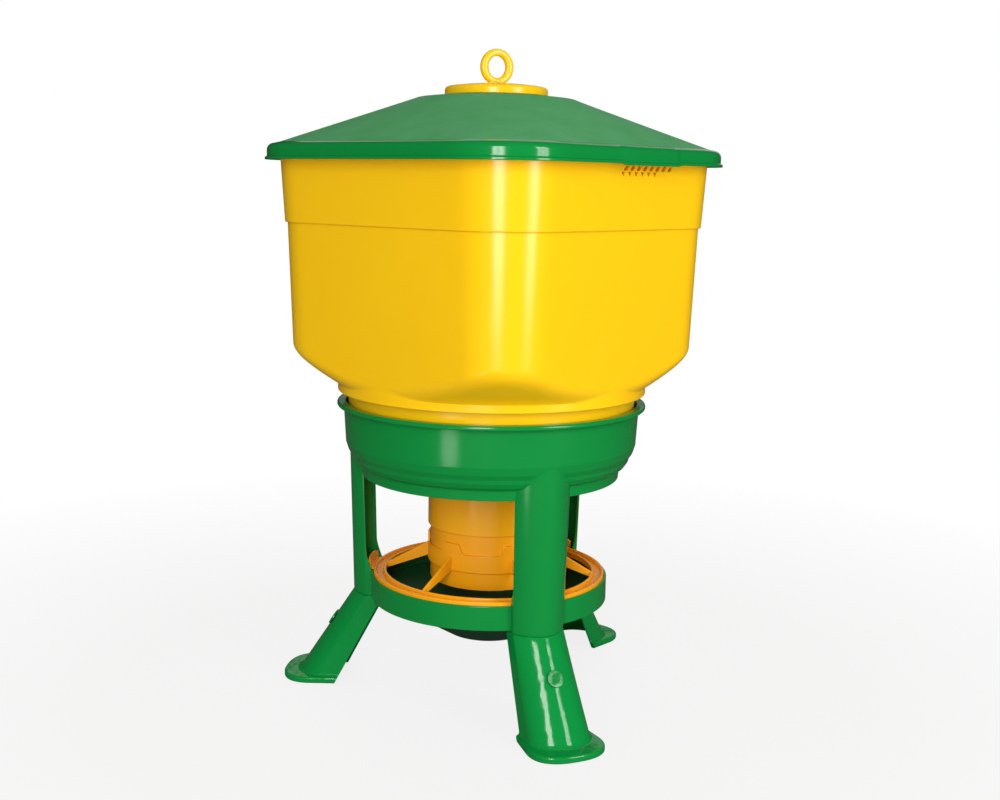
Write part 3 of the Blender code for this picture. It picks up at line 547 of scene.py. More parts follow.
def foot_skin(azimuth):
    """Leg sections stacked on a sole.

    The sole's outline has straight heels and a nose that is a half superellipse. Each of its points
    belongs to a point of the leg's outer outline. A row of the foot lies on the line between the
    two, at a distance from the leg that the sole's rounded edge and its fillet give as quarter arcs.
    """
    quarter = np.linspace(0.0, math.pi / 2.0, 6)
    edge = sole_edge_round
    above = np.zeros(foot_rows)
    top = seam_height - seat_gap
    leg = np.linspace(sole_thickness + sole_fillet, top - seam_groove, foot_rows)
    rise = np.concatenate([edge * (1.0 - np.cos(quarter)), sole_thickness - edge + edge * np.sin(quarter),
                           sole_thickness + sole_fillet * (1.0 - np.cos(quarter)), leg[1:], [top]])
    inset = np.concatenate([edge * (1.0 - np.sin(quarter)), edge * (1.0 - np.cos(quarter)),
                            0.0 * quarter, above])
    near = np.concatenate([np.full(2 * len(quarter), np.inf), sole_fillet * (1.0 - np.sin(quarter)), above])

    share = rise / seam_height
    groove = np.where(rise == top, seam_groove, 0.0)
    half_width = foot_low_half_width + (foot_top_half_width - foot_low_half_width) * share - groove
    depth = foot_low_depth + (foot_top_depth - foot_low_depth) * share
    arch_depth = foot_low_arch_depth + (column_arch_depth / slant - foot_low_arch_depth) * share
    power = foot_low_arch_power + (column_arch_power - foot_low_arch_power) * share
    across, inwards = channel_outline(half_width, depth, foot_wall, arch_depth, power,
                                      foot_strip_half_width, foot_strip_rise)
    inwards = inwards * slant
    face = face_radius_of_foot(rise) - groove
    outer = len(across) // 2
    corner = outer // 2 - arch_steps
    leg_x, leg_y = across[:outer], inwards[:outer]
    length = np.hypot(np.diff(leg_x, axis=0), np.diff(leg_y, axis=0))
    run = np.concatenate([np.zeros((1, len(rise))), np.cumsum(length, axis=0)])
    start, stop = run[corner], run[outer - 1 - corner]
    turn = np.clip((run - start) / (stop - start), 0.0, 1.0) * math.pi
    nose = face - face_radius_of_foot(0.0) - sole_reach
    middle = nose + sole_nose_length
    width = sole_nose_half_width - inset
    sole_x = width * np.sign(np.cos(turn)) * np.abs(np.cos(turn)) ** sole_nose_square_share
    sole_y = middle - (sole_nose_length - inset) * np.sin(turn) ** sole_nose_square_share
    back = leg_y[0]
    along = np.minimum(run / start, (run[-1] - run) / (run[-1] - stop))
    side = (run <= start) | (run >= stop)
    heel = (sole_heel_half_width - inset) * (1.0 - along) + width * along
    sole_x = np.where(side, np.sign(leg_x) * heel, sole_x)
    sole_y = np.where(side, back + (middle - back) * along, sole_y)
    gap = np.hypot(sole_x - leg_x, sole_y - leg_y)
    part = np.minimum(near, gap) / np.maximum(gap, 1e-9)
    across[:outer] = leg_x + (sole_x - leg_x) * part
    inwards[:outer] = leg_y + (sole_y - leg_y) * part
    return channel_skin(leg_grid(across, inwards, face, rise, azimuth))


green_foot = moulded_polypropylene("green_foot_polypropylene", "088739", "0a8e3e", 0.10, "4faa6c",
                                   wave_rise=0.0013, wave_width=0.018)
for name, azimuth in zip(leg_names, leg_azimuths):
    foot = solid(f"foot_moulding_{name}", [foot_skin(azimuth)])
    merge(foot, solid("pin_hole", [pin_hole(azimuth)]), "DIFFERENCE")
    coat(foot, green_foot)
    finish_piece(foot, "base", "green", f"foot_{name}")


# Foot pins
# Green push pins, moulded, that go through the foot's face into the tongue. The round head has a
# fine slanted hatching for the thumb.
pin_head_radius = 0.0119
pin_head_height = 0.0022
pin_crown_rise = 0.0004
pin_rounds = [0.0, 0.0011, 0.0002, 0.0, 0.0008, 0.0]
hatch_pitch = 0.0014
hatch_depth = 0.00022
hatch_fade = 0.0012


def hatching(x, y, radii):
    """Ridges on the head's face: a sine across the slant, faded out towards the rounded edge."""
    fade = np.clip((0.80 * pin_head_radius - radii) / hatch_fade, 0.0, 1.0)
    return hatch_depth * fade * np.sin((x + y) / math.sqrt(2.0) * 2.0 * math.pi / hatch_pitch)


head = seat_gap + pin_head_height
pin_face = [(share * pin_head_radius, head + pin_crown_rise * (1.0 - share ** 2))
            for share in np.linspace(0.0, 0.84, 26)]
pin_side = [(0.86 * pin_head_radius, head), (pin_head_radius, head), (pin_head_radius, seat_gap),
            (pin_shank_radius, seat_gap), (pin_shank_radius, -pin_shank_length), (0.0, -pin_shank_length)]
radii, rises = rounded(pin_face + pin_side, [0.0] * len(pin_face) + pin_rounds)
for name, azimuth in zip(leg_names, leg_azimuths):
    pin = solid(f"push_pin_{name}", [skin(pin_grid(radii, rises, azimuth, hatching), wrap_rows=False)])
    coat(pin, green_glossy)
    finish_piece(pin, "base", "green", f"foot_pin_{name}")


# Pan
# A green dish that drops into the pan wall and stands on its ledge. It is moulded thinner than the
# stand, with a satin face, and its bowl hangs below the wall.
pan_wall = 0.0026
pan_side_clearance = 0.0004
# The bowl's corners, as shares of the ledge's radius and of the pan's depth
bowl_shares = [(0.76, 0.307), (0.38, 0.833), (0.19, 0.968)]
bowl_rounds = [0.020, 0.020, 0.020]
pan_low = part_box("pan")[0].z
pan_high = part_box("pan")[1].z
pan_seat = pan_wall_bottom + pan_ledge_thickness + seat_gap
pan_outer = pan_wall_radius - stand_wall - pan_side_clearance
pan_ledge_edge = pan_outer - pan_ledge_width
pan_depth = pan_seat - pan_low
bowl = [(pan_ledge_edge * out, pan_seat - pan_depth * down) for out, down in bowl_shares]
above = [(0.0, pan_low + pan_wall)] + [(out, up + pan_wall) for out, up in reversed(bowl)]
above += [(pan_ledge_edge, pan_seat + pan_wall), (pan_outer - pan_wall, pan_seat + pan_wall),
          (pan_outer - pan_wall, pan_high)]
below = [(pan_outer, pan_high), (pan_outer, pan_seat), (pan_ledge_edge, pan_seat)] + bowl + [(0.0, pan_low)]
pan_rounds = [0.0] + bowl_rounds + [0.0030, 0.0040, 0.0008, 0.0008, 0.0010, 0.0030] + bowl_rounds + [0.0]
pan = solid("feed_pan", [turned_skin(above + below, pan_rounds, wrap_rows=False, steps=8)])
# Painted shade: the pan's green is much darker than the stand's, for the shade that it sits in under the
# grille and the seat
green_satin_painted_shade = moulded_polypropylene("green_satin_polypropylene_painted_shade", "0a4a28", "0c512c", 0.34, "2a7045")
coat(pan, green_satin_painted_shade)
finish_piece(pan, "base", "green_pan", "pan")


# Grille
# One yellow moulding that keeps birds out of the pan: a grooved ring, six spokes that are taller at
# the middle, a castellated sleeve round the flow tube, and three upright keys in the columns.
spoke_count = 6
ring_radius = 0.1684
ring_height = 0.0143
ring_width = 0.0184
ring_bead_width = 0.0040
ring_floor_rise = 0.0095
ring_floor_wall = 0.0030
ring_inner_lip = 0.0038
ring_inner_rise = 0.0006
ring_groove_draft = 0.0006
ring_rounds = [0.0017, 0.0008, 0.0008, 0.0008, 0.0008, 0.0012, 0.0012, 0.0012, 0.0012, 0.0015]
flow_tube_radius = 0.0855
sleeve_clearance = 0.0007
sleeve_wall = 0.0030
sleeve_rise = 0.0297
sleeve_rounds = [0.0009, 0.0008, 0.0005, 0.0005]
notch_depth = 0.014
notch_floor_share = 0.58
notch_mouth_share = 0.74
notch_bend_angle = 0.012   # azimuths on each side of a notch's bend that get more columns
notch_softness = 0.05      # share of a notch's slanted side over which its bends round off
spoke_thickness = 0.0034
spoke_root_height = 0.0215
spoke_tip_height = 0.0085
spoke_sink = 0.0004
spoke_rounds = [0.0012, 0.0012, 0.0004, 0.0004]
key_height = 0.0130
key_thickness = 0.0034
key_reach = 0.0081
key_half_angle = math.radians(9.3)
key_clearance = 0.0006
key_end_fall = 0.004
key_rounds = [0.0010, 0.0010, 0.0005, 0.0005, 0.0010, 0.0010]
ring_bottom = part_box("grille")[0].z
sleeve_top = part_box("grille")[1].z
ring_top = ring_bottom + ring_height
ring_inner = ring_radius - ring_width
ring_inner_top = ring_top + ring_inner_rise
sleeve_bottom = ring_bottom + sleeve_rise
sleeve_inner_radius = flow_tube_radius + sleeve_clearance
sleeve_outer_radius = sleeve_inner_radius + sleeve_wall


def grille_ring_skin():
    """Turned outline of the ring: a bead outside, a lip inside, and a groove between them."""
    bead = ring_radius - ring_bead_width
    floor = ring_bottom + ring_floor_rise
    under = floor - ring_floor_wall
    lip = ring_inner + ring_inner_lip
    return turned_skin([(ring_radius, ring_top), (ring_radius, ring_bottom), (bead, ring_bottom),
                        (bead, under), (ring_inner, under), (ring_inner, ring_inner_top),
                        (lip, ring_inner_top), (lip + ring_groove_draft, floor),
                        (bead - ring_groove_draft, floor), (bead, ring_top)], ring_rounds)


def sleeve_skin():
    """Sleeve whose top edge drops into six notches with slanted sides, joined by small rounds."""
    sector = 2.0 * math.pi / spoke_count
    floor_half = sector * notch_floor_share / 2.0
    mouth_half = sector * notch_mouth_share / 2.0
    near = np.linspace(-notch_bend_angle, notch_bend_angle, 9)
    bends = np.array([-mouth_half, -floor_half, floor_half, mouth_half])
    local = np.concatenate([(bends[:, None] + near).ravel(), np.linspace(-0.5, 0.5, 21)[:-1] * sector])
    azimuths = np.unique(np.round(local[None, :] + sector * (np.arange(spoke_count)[:, None] + 0.5), 6))
    away = np.abs(np.mod(azimuths, sector) - sector / 2.0)
    slope = (away - floor_half) / (mouth_half - floor_half)
    soft = notch_softness
    ramp = (np.sqrt(slope ** 2 + soft ** 2) - np.sqrt((slope - 1.0) ** 2 + soft ** 2) + 1.0) / 2.0
    tops = sleeve_top - notch_depth * (1.0 - np.clip(ramp, 0.0, 1.0))
    return turned_skin([(sleeve_outer_radius, tops), (sleeve_outer_radius, sleeve_bottom),
                        (sleeve_inner_radius, sleeve_bottom), (sleeve_inner_radius, tops)],
                       sleeve_rounds, azimuths)


def spoke_skin(azimuth):
    """Tapered bar on a spoke's azimuth, tall at the sleeve and low at the ring, with rounded edges."""
    half = spoke_thickness / 2.0
    share = np.linspace(0.0, 1.0, 9)
    root = (sleeve_outer_radius + sleeve_inner_radius) / 2.0
    tip = ring_inner + ring_inner_lip / 2.0
    low = sleeve_bottom + seat_gap
    low = low + (ring_inner_top - spoke_tip_height - low) * share
    top = low + spoke_root_height + (spoke_tip_height - spoke_root_height) * share - spoke_sink
    across, up = rounded([(half, top), (-half, top), (-half, low), (half, low)], spoke_rounds)
    return channel_skin(leg_grid(across, 0.0, root + (tip - root) * share, up, azimuth))


def key_skin(azimuth):
    """Upright key on a short foot, bent round the axis, with a top edge that falls to its ends."""
    reach = ring_radius + key_reach
    back = reach - key_thickness
    base = ring_radius - ring_bead_width * 0.6
    low = pan_wall_top + key_clearance
    turn = np.linspace(-1.0, 1.0, 25)
    top = low + key_height + key_thickness - key_end_fall * turn ** 4
    path = [(reach, top), (reach, low), (base, low), (base, low + key_thickness),
            (back, low + key_thickness), (back, top)]
    return channel_skin(turned_grid(*rounded(path, key_rounds), azimuth + turn * key_half_angle))


grille = solid("grille_moulding", [grille_ring_skin(), sleeve_skin()])
spoke_azimuths = [spoke * 2.0 * math.pi / spoke_count for spoke in range(spoke_count)]
merge(grille, solid("spokes", [spoke_skin(azimuth) for azimuth in spoke_azimuths]))
merge(grille, solid("keys", [key_skin(azimuth) for azimuth in leg_azimuths]))
# Painted shade: the grille and the flow tube get a warmer, more orange yellow than the hopper, for the colour
# that yellow plastic takes in shade
yellow_warm_painted_shade = moulded_polypropylene("yellow_warm_polypropylene_painted_shade", "f7a310", "f9a816", 0.22, "fcc260")
coat(grille, yellow_warm_painted_shade)
finish_piece(grille, "grille_body", "yellow", "grille")


# Flow tube
# A yellow moulded tube that telescopes in the hopper's spout and stands in the grille's sleeve. Two
# lugs stand in the sleeve's notches and set how far the feed runs out.
flow_tube_wall = 0.0025
flow_tube_rounds = [0.0008, 0.0010, 0.0008, 0.0008]
lug_width = 0.0100
lug_height = 0.0062
lug_chamfer = 0.0006
lug_round = 0.0010
tube_low, tube_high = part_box("flow_tube")[0].z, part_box("flow_tube")[1].z
flow_tube_inner = flow_tube_radius - flow_tube_wall
flow_tube = solid("flow_tube_moulding", [turned_skin(
    [(flow_tube_radius, tube_high), (flow_tube_radius, tube_low), (flow_tube_inner, tube_low),
     (flow_tube_inner, tube_high)], flow_tube_rounds)])


def lug_skin(azimuth):
    """Rounded block on the tube's wall, as wide as a lug and as deep as the sleeve."""
    base = sleeve_top - notch_depth + seat_gap
    radius = np.array([flow_tube_radius - flow_tube_wall / 2.0, sleeve_outer_radius - lug_chamfer,
                       sleeve_outer_radius])
    inset = np.array([0.0, 0.0, lug_chamfer])
    half = lug_width / 2.0 - inset
    top, low = base + lug_height - inset, base + inset
    across, up = rounded([(half, top), (-half, top), (-half, low), (half, low)], lug_round)
    return channel_skin(leg_grid(across, 0.0, radius, up, azimuth))


lug_azimuths = (math.pi / spoke_count, math.pi / spoke_count + math.pi)
merge(flow_tube, solid("lugs", [lug_skin(azimuth) for azimuth in lug_azimuths]))
coat(flow_tube, yellow_warm_painted_shade)
finish_piece(flow_tube, "flow_tube_body", "yellow", "flow_tube")


# Hopper
# One deep yellow moulding: a rounded-square bin with a flange under its rim and a step in its walls,
# a conical floor, a round neck and collar that drop into the seat, and the outlet spout.
hopper_turn = math.radians(-20.0)
hopper_wall = 0.0030
collar_radius = 0.2053
collar_low_radius = 0.1988
neck_radius = 0.2192
neck_height = 0.0114
floor_slope = math.radians(33.0)
floor_blend = 0.020
floor_corner = 0.0720
band_rise = 0.2211
band_half_side = 0.2311
band_corner = 0.0841
band_step = 0.0035
rim_half_side = 0.2363
rim_corner = 0.0855
flange_rise = 0.086
flange_thickness = 0.0060
flange_reach = 0.012
rim_rise = 0.0164
spout_radius = 0.0892
spout_fillet = 0.010
# Roundings from the rim down to the step, at the neck's top, from the neck to the spout's bore, and
# from the step up to the rim inside
rim_rounds = [0.0012, 0.0010, 0.0016, 0.0020, 0.0012, 0.0024, 0.0010]
neck_top_round = 0.0014
spout_rounds = [0.0016, 0.0010, 0.0010, 0.0008, 0.0040, spout_fillet, 0.0012, 0.0008, spout_fillet]
inside_rounds = [0.0010, 0.0010, 0.0010]
rim_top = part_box("hopper")[1].z
spout_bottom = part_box("hopper")[0].z
flange_bottom = rim_top - rim_rise
band_bottom = flange_bottom - flange_rise
neck_top = band_bottom - band_rise
neck_bottom = neck_top - neck_height

# The columns of the hopper and the lid crowd towards the corners of the square
square_columns = 256
even = full_turn(square_columns)
square_angles = even + 0.5 / 4.0 * np.sin(4.0 * even)
face_azimuth = hopper_turn + math.pi / 4.0


def square_radius(angles, half_side, corner):
    """Distance from the middle to the side of a rounded square, at an angle from a face's middle.

    On the flat it is half_side / cos a. On the corner it is the far cut of a ray with the circle
    round the corner's centre.
    """
    angle = np.mod(angles, math.pi / 2.0)
    angle = np.minimum(angle, math.pi / 2.0 - angle)
    flat = half_side - corner
    along = flat * (np.cos(angle) + np.sin(angle))
    arc = along + np.sqrt(np.maximum(along ** 2 - 2.0 * flat ** 2 + corner ** 2, 0.0))
    return np.where(half_side * np.tan(angle) <= flat, half_side / np.cos(angle), arc)


def smooth_least(first, second, blend):
    """The smaller of two lengths, less the square of their overlap within the blend / (4 blend)."""
    overlap = np.maximum(blend - np.abs(first - second), 0.0)
    return np.minimum(first, second) - overlap ** 2 / (4.0 * blend)


def bin_rows(wall):
    """Radii and heights of the bin below its step: the square where it is inside the cone, else the cone."""
    share = np.concatenate([np.linspace(0.0, 0.36, 46), np.linspace(0.36, 1.0, 9)[1:]])[:, None]
    heights = neck_top + band_rise * share
    half_side = neck_radius + (band_half_side - band_step - neck_radius) * share - wall
    corner = floor_corner + (band_corner - band_step - floor_corner) * share - wall
    cone = neck_radius + band_rise * share / math.tan(floor_slope) - wall / math.sin(floor_slope)
    radii = smooth_least(square_radius(square_angles, half_side, corner), cone, floor_blend)
    return (np.maximum(radii, neck_radius) if wall == 0.0 else radii), heights + np.zeros_like(radii)


def hopper_skin():
    """One closed skin: down the outside from the rim to the spout, then up the inside to the rim."""
    wall = hopper_wall
    slope = math.tan(floor_slope)
    flange_share = flange_rise / (flange_rise + rim_rise)
    side = band_half_side + (rim_half_side - band_half_side) * flange_share
    corner = band_corner + (rim_corner - band_corner) * flange_share
    flange_top = flange_bottom + flange_thickness
    collar_base = skirt_top + shelf_rise + seat_gap
    bore = spout_radius - wall
    bore_top = neck_top - (neck_radius - bore) * slope + wall / math.cos(floor_slope)
    spout_top = neck_top - (neck_radius - spout_radius) * slope
    under_neck = neck_top - (neck_radius - collar_radius + wall) * slope

    def square(half_side, corner, out, height):
        return square_radius(square_angles, half_side + out, corner + out), height

    outside, inside = bin_rows(0.0), bin_rows(wall)
    path = [square(rim_half_side, rim_corner, 0.0, rim_top), square(side, corner, 0.0, flange_top),
            square(side, corner, flange_reach, flange_top), square(side, corner, flange_reach, flange_bottom),
            square(side, corner, 0.0, flange_bottom), square(band_half_side, band_corner, 0.0, band_bottom),
            square(band_half_side, band_corner, -band_step, band_bottom)]
    path += zip(outside[0][::-1], outside[1][::-1])
    path += [(neck_radius, neck_bottom), (collar_radius, neck_bottom), (collar_low_radius, collar_base),
             (collar_low_radius - wall, collar_base), (collar_radius - wall, under_neck),
             (spout_radius, spout_top), (spout_radius, spout_bottom), (bore, spout_bottom), (bore, bore_top)]
    path += zip(*inside)
    path += [square(band_half_side, band_corner, -band_step - wall, band_bottom + wall / 3.0),
             square(band_half_side, band_corner, -wall, band_bottom + wall),
             square(rim_half_side, rim_corner, -wall, rim_top)]
    rounds = (rim_rounds + [0.0] * (len(outside[0]) - 1) + [neck_top_round] + spout_rounds
              + [0.0] * len(inside[0]) + inside_rounds)
    return turned_skin(path, rounds, face_azimuth + square_angles)


# The vents are two rows of holes high on one face: slanted slots, and small triangles under them
vent_slot_count = 8
vent_triangle_count = 6
vent_pitch = 0.0138
vent_slot_width = 0.0074
vent_slot_height = 0.0064
vent_slot_start = 0.0036
vent_lean = 0.0056
vent_triangle_width = 0.0085
vent_triangle_height = 0.0056
vent_row_gap = 0.0014
vent_drop = 0.0030
vent_start = -0.0205
vent_reach = 0.010
slot_round = 0.0007
triangle_rounds = [0.0005, 0.0004, 0.0004, 0.0005]


def vent_skin(left, path, rounds):
    """Prism through the face for one vent: its outline, given as (along, up), pushed through."""
    along, up = rounded([(left + corner, height) for corner, height in path], rounds, 4)
    out = np.array([[rim_half_side - vent_reach, rim_half_side + vent_reach]])
    along, up, out = np.broadcast_arrays(along, up, out)
    return channel_skin(leg_grid(along, 0.0, out, up, face_azimuth))


slot_top = flange_bottom - vent_drop
slot_low = slot_top - vent_slot_height
slot = [(0.0, slot_low), (vent_slot_width, slot_low), (vent_slot_width + vent_lean, slot_top),
        (vent_lean, slot_top)]
triangle_top = slot_low - vent_row_gap
triangle_low = triangle_top - vent_triangle_height
triangle = [(0.0, triangle_top), (0.45 * vent_triangle_width, triangle_low),
            (0.55 * vent_triangle_width, triangle_low), (vent_triangle_width, triangle_top)]
vents = [vent_skin(vent_start + vent_slot_start + k * vent_pitch, slot, slot_round)
         for k in range(vent_slot_count)]
vents += [vent_skin(vent_start + k * vent_pitch, triangle, triangle_rounds)
          for k in range(vent_triangle_count)]
hopper = solid("hopper_moulding", [hopper_skin()], 35.0)
merge(hopper, solid("vents", vents), "DIFFERENCE", 35.0)
yellow_glossy = moulded_polypropylene("yellow_glossy_polypropylene", "fbc408", "fdc80c", 0.19, "fddc6a")
# Painted glow: the bin's inside faces emit a dim orange light, standing in for daylight that comes through
# the thin walls and lights the closed bin orange from inside
yellow_inside_painted_glow = moulded_polypropylene("yellow_polypropylene_painted_glow", "fbc408", "fdc80c", 0.30, "fddc6a")
tree = yellow_inside_painted_glow.node_tree
set_inputs(tree, tree.nodes["Principled BSDF"], {"Emission Color": linear("ff5a24"),
                                                 "Emission Strength": 0.22})
# Painted shade: the spout and the faces below the seat get a warmer, deeper yellow, standing in for the shade
# of the bin and the warm light that comes down through the plastic
yellow_spout_painted_shade = moulded_polypropylene("yellow_polypropylene_painted_shade", "f9ac10", "fab116", 0.22, "fcc860")
coat(hopper, yellow_glossy, yellow_inside_painted_glow, yellow_spout_painted_shade)
# The inward faces of the bin above the neck get the painted glow, and all faces below the seat's skirt get
# the painted shade
centres, normals = face_table(hopper.data)
inwards = (centres[:, :2] * normals[:, :2]).sum(axis=1) < -0.3 * np.hypot(centres[:, 0], centres[:, 1])
painted_glow_and_shade_slots = np.where(inwards & (centres[:, 2] > neck_top), 1, np.where(centres[:, 2] < skirt_top, 2, 0))
hopper.data.polygons.foreach_set("material_index", painted_glow_and_shade_slots.astype(np.int32))
finish_piece(hopper, "hopper_body", "yellow", "hopper")


# Lid
# A green moulding that stands on the hopper's rim: a matt, grained roof that turns from a square to
# a round crown, a narrow shelf, and a glossy skirt with a small lip and a hood over the vents.
lid_wall = 0.0028
lid_half_side = 0.2545
lid_corner = 0.1055
lid_skirt_height = 0.0206
lid_break_rise = 0.0675
lid_lip_reach = 0.0028
lid_lip_height = 0.0034
lid_lip_slope = 0.0014
lid_edge_round = 0.0095
lid_shelf_width = 0.0075
lid_shelf_slope = 0.0036
lid_break_radius = 0.109
lid_crown_radius = 0.074
lid_crown_rise = 0.0040
# Roundings of the crown from the hole out to the break, and of the skirt from the shelf's inner line
# down its outside and up its inside
crown_rounds = [0.0006, 0.012, 0.012]
lid_skirt_rounds = [0.0015, lid_edge_round, 0.0016, 0.0012, 0.0010, 0.0008, lid_edge_round - lid_wall,
                    0.0020]
shelf_colour_margin = 0.0006   # how far outside the shelf's inner line the glossy face starts
shelf_corner_margin = 0.005    # how much rounder than the shelf's the corners of that line are
hood_from = -0.042
hood_to = 0.077
hood_reach = 0.0012
hood_rise = 0.0010
hood_drop = 0.0020
hood_side = 0.012
lid_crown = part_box("lid")[1].z
lid_break = lid_crown - lid_crown_rise
lid_shelf = lid_break - lid_break_rise
lid_low = lid_shelf - lid_skirt_height
shelf_inset = lid_edge_round + lid_shelf_width
eye_stem_radius = 0.0070


def lid_skin():
    """Roof and skirt as one closed skin: from the crown's hole down the outside, and back up the inside.

    The roof is ruled: along each column its radius and height run straight from the rounded square
    of the shelf to the round break. The hood is added to the skirt's rows: an amount that rises and
    falls smoothly at its two ends, outwards, and up or down at the skirt's edges.
    """
    ends = np.array([hood_from, hood_to])[:, None]
    extra = np.arctan((ends + np.linspace(-1.0, 1.0, 9) * hood_side) / lid_half_side).ravel()
    angles = np.sort(np.concatenate([square_angles, np.mod(extra, 2.0 * math.pi)]))
    face = np.abs(np.mod(angles + math.pi, 2.0 * math.pi) - math.pi) < math.pi / 4.0
    along = np.where(face, lid_half_side * np.tan(np.where(face, angles, 0.0)), 1.0)
    ramp_in = np.clip((along - hood_from) / hood_side + 0.5, 0.0, 1.0)
    ramp_out = np.clip((hood_to - along) / hood_side + 0.5, 0.0, 1.0)
    hood = (3.0 - 2.0 * ramp_in) * ramp_in ** 2 * (3.0 - 2.0 * ramp_out) * ramp_out ** 2

    def square(inset, height, lift=None):
        corner = max(lid_corner - inset, 0.7 * lid_corner)
        radii = square_radius(angles, lid_half_side - inset, corner)
        return (radii, height) if lift is None else (radii + hood_reach * hood, height + lift * hood)

    def ruled(first, last):
        shares = np.linspace(0.0, 1.0, 14)[1:-1]
        return [tuple(here + (there - here) * share for here, there in zip(first, last)) for share in shares]

    wall = lid_wall
    hole = eye_stem_radius + seat_gap
    crown = [(hole, lid_crown), (lid_crown_radius, lid_crown), (lid_break_radius, lid_break)]
    skirt = [square(shelf_inset, lid_shelf + lid_shelf_slope), square(0.0, lid_shelf, hood_rise),
             square(0.0, lid_low + lid_lip_height + lid_lip_slope, -hood_drop),
             square(-lid_lip_reach, lid_low + lid_lip_height, -hood_drop),
             square(-lid_lip_reach, lid_low, -hood_drop), square(wall, lid_low, -hood_drop),
             square(wall, lid_shelf - wall, hood_rise),
             square(shelf_inset + wall, lid_shelf + lid_shelf_slope - wall)]
    under = [(lid_break_radius - wall, lid_break - wall), (lid_crown_radius, lid_crown - wall),
             (hole, lid_crown - wall)]
    roof, ceiling = ruled(crown[-1], skirt[0]), ruled(skirt[-1], under[0])
    plain = [0.0] * len(roof)
    return turned_skin(crown + roof + skirt + ceiling + under,
                       crown_rounds + plain + lid_skirt_rounds + plain + crown_rounds[::-1],
                       face_azimuth + angles)


# Surface of the grained roof: widths of its mottling, specks and grain, and the grain's height
patch_width = 0.045
speck_width = 0.0035
grain_width = 0.0011
grain_rise = 0.00025


def grained_polypropylene(name, colour, pale_colour):
    """Polypropylene from a spark-eroded mould: a fine even grain that scatters light, so no highlight.

    Rain and dust leave it mottled in soft patches a few centimetres wide.
    """
    material, tree, shader, place = new_material(name)
    patch = add_node(tree, "ShaderNodeTexNoise", {"Vector": place, "Scale": 1.0 / patch_width,
                                                  "Detail": 5.0, "Roughness": 0.6})
    speck = add_node(tree, "ShaderNodeTexNoise", {"Vector": place, "Scale": 1.0 / speck_width,
                                                  "Detail": 3.0})
    grain = add_node(tree, "ShaderNodeTexNoise", {"Vector": place, "Scale": 1.0 / grain_width,
                                                  "Detail": 2.0})
    both = add_node(tree, "ShaderNodeMath", {0: patch.outputs["Fac"], 1: speck.outputs["Fac"]},
                    operation="ADD")
    amount = add_node(tree, "ShaderNodeMapRange", {"Value": both.outputs["Value"], "From Min": 0.65,
                                                   "From Max": 1.35})
    body = add_node(tree, "ShaderNodeMix", {"Factor": amount.outputs["Result"], "A": linear(colour),
                                            "B": linear(pale_colour)}, data_type="RGBA")
    rough = add_node(tree, "ShaderNodeMapRange", {"Value": speck.outputs["Fac"], "To Min": 0.50,
                                                  "To Max": 0.68})
    bump = add_node(tree, "ShaderNodeBump", {"Height": grain.outputs["Fac"], "Strength": 0.8,
                                             "Distance": grain_rise})
    set_inputs(tree, shader, {"Base Color": body.outputs["Result"], "Roughness": rough.outputs["Result"],
                              "Normal": bump.outputs["Normal"], "IOR": polypropylene_ior,
                              "Specular IOR Level": 0.3})
    return material


lid = solid("lid_moulding", [lid_skin()])
# Painted sheen: the roof's greens are much paler than the skirt's, though the lid is one moulding. The
# mottling between them is dust and rain, but the paleness stands in for the haze of light that the grain
# scatters
green_grained_painted_sheen = grained_polypropylene("green_grained_polypropylene_painted_sheen", "3e9855", "55a76b")
green_polished = moulded_polypropylene("green_polished_polypropylene", "0a7f36", "0b863a", 0.09, "1f8a46")
coat(lid, green_grained_painted_sheen, green_polished)
centres, normals = face_table(lid.data)
local = np.arctan2(centres[:, 0], -centres[:, 1]) - face_azimuth
reach = np.hypot(centres[:, 0], centres[:, 1])
inside_line = square_radius(local, lid_half_side - shelf_inset,
                            lid_corner - shelf_inset + shelf_corner_margin)
skirt_faces = (reach > inside_line + shelf_colour_margin) | (centres[:, 2] < lid_shelf - lid_wall * 0.5)
lid.data.polygons.foreach_set("material_index", skirt_faces.astype(np.int32))
finish_piece(lid, "lid_body", "green_roof", "lid")


# Eye
# The yellow carrying eye: a round cap, a ring on a flared neck, and a stem that goes down through
# the lid. It is one glossy moulding with soft edges.
eye_cap_radius = 0.0717
eye_cap_edge_height = 0.0112
eye_cap_crown_height = 0.0168
eye_cap_round = 0.0056
eye_ring_half_width = 0.0187
eye_ring_half_height = 0.0197
eye_bar_side = 0.0058
eye_bar_top = 0.0049
eye_bar_depth = 0.0052
eye_ring_rise = 0.0395
eye_stem_length = 0.0200
eye_cap_rounds = [eye_cap_round, 0.0008, 0.0, 0.0008, 0.0]
eye_neck_sink = 0.0035     # how deep the neck stands in the cap's dome
eye_neck_half_width = 0.0115
eye_neck_half_depth = 0.0056
eye_neck_flare_width = 0.0105
eye_neck_flare_depth = 0.0110
eye_skin_step = 0.00055    # size of the cells that blend ring and neck into one skin
cap_base = lid_crown + seat_gap
ring_centre = lid_crown + eye_ring_rise

dome = [(radius, cap_base + eye_cap_crown_height
         - (eye_cap_crown_height - eye_cap_edge_height) * (radius / eye_cap_radius) ** 2)
        for radius in np.linspace(0.0, 1.0, 14) * (eye_cap_radius - 2.2 * eye_cap_round)]
stem = [(eye_cap_radius, cap_base + eye_cap_edge_height), (eye_cap_radius, cap_base),
        (eye_stem_radius, cap_base), (eye_stem_radius, cap_base - eye_stem_length),
        (0.0, cap_base - eye_stem_length)]
cap = solid("eye_cap", [turned_skin(dome + stem, [0.0] * len(dome) + eye_cap_rounds, wrap_rows=False)])


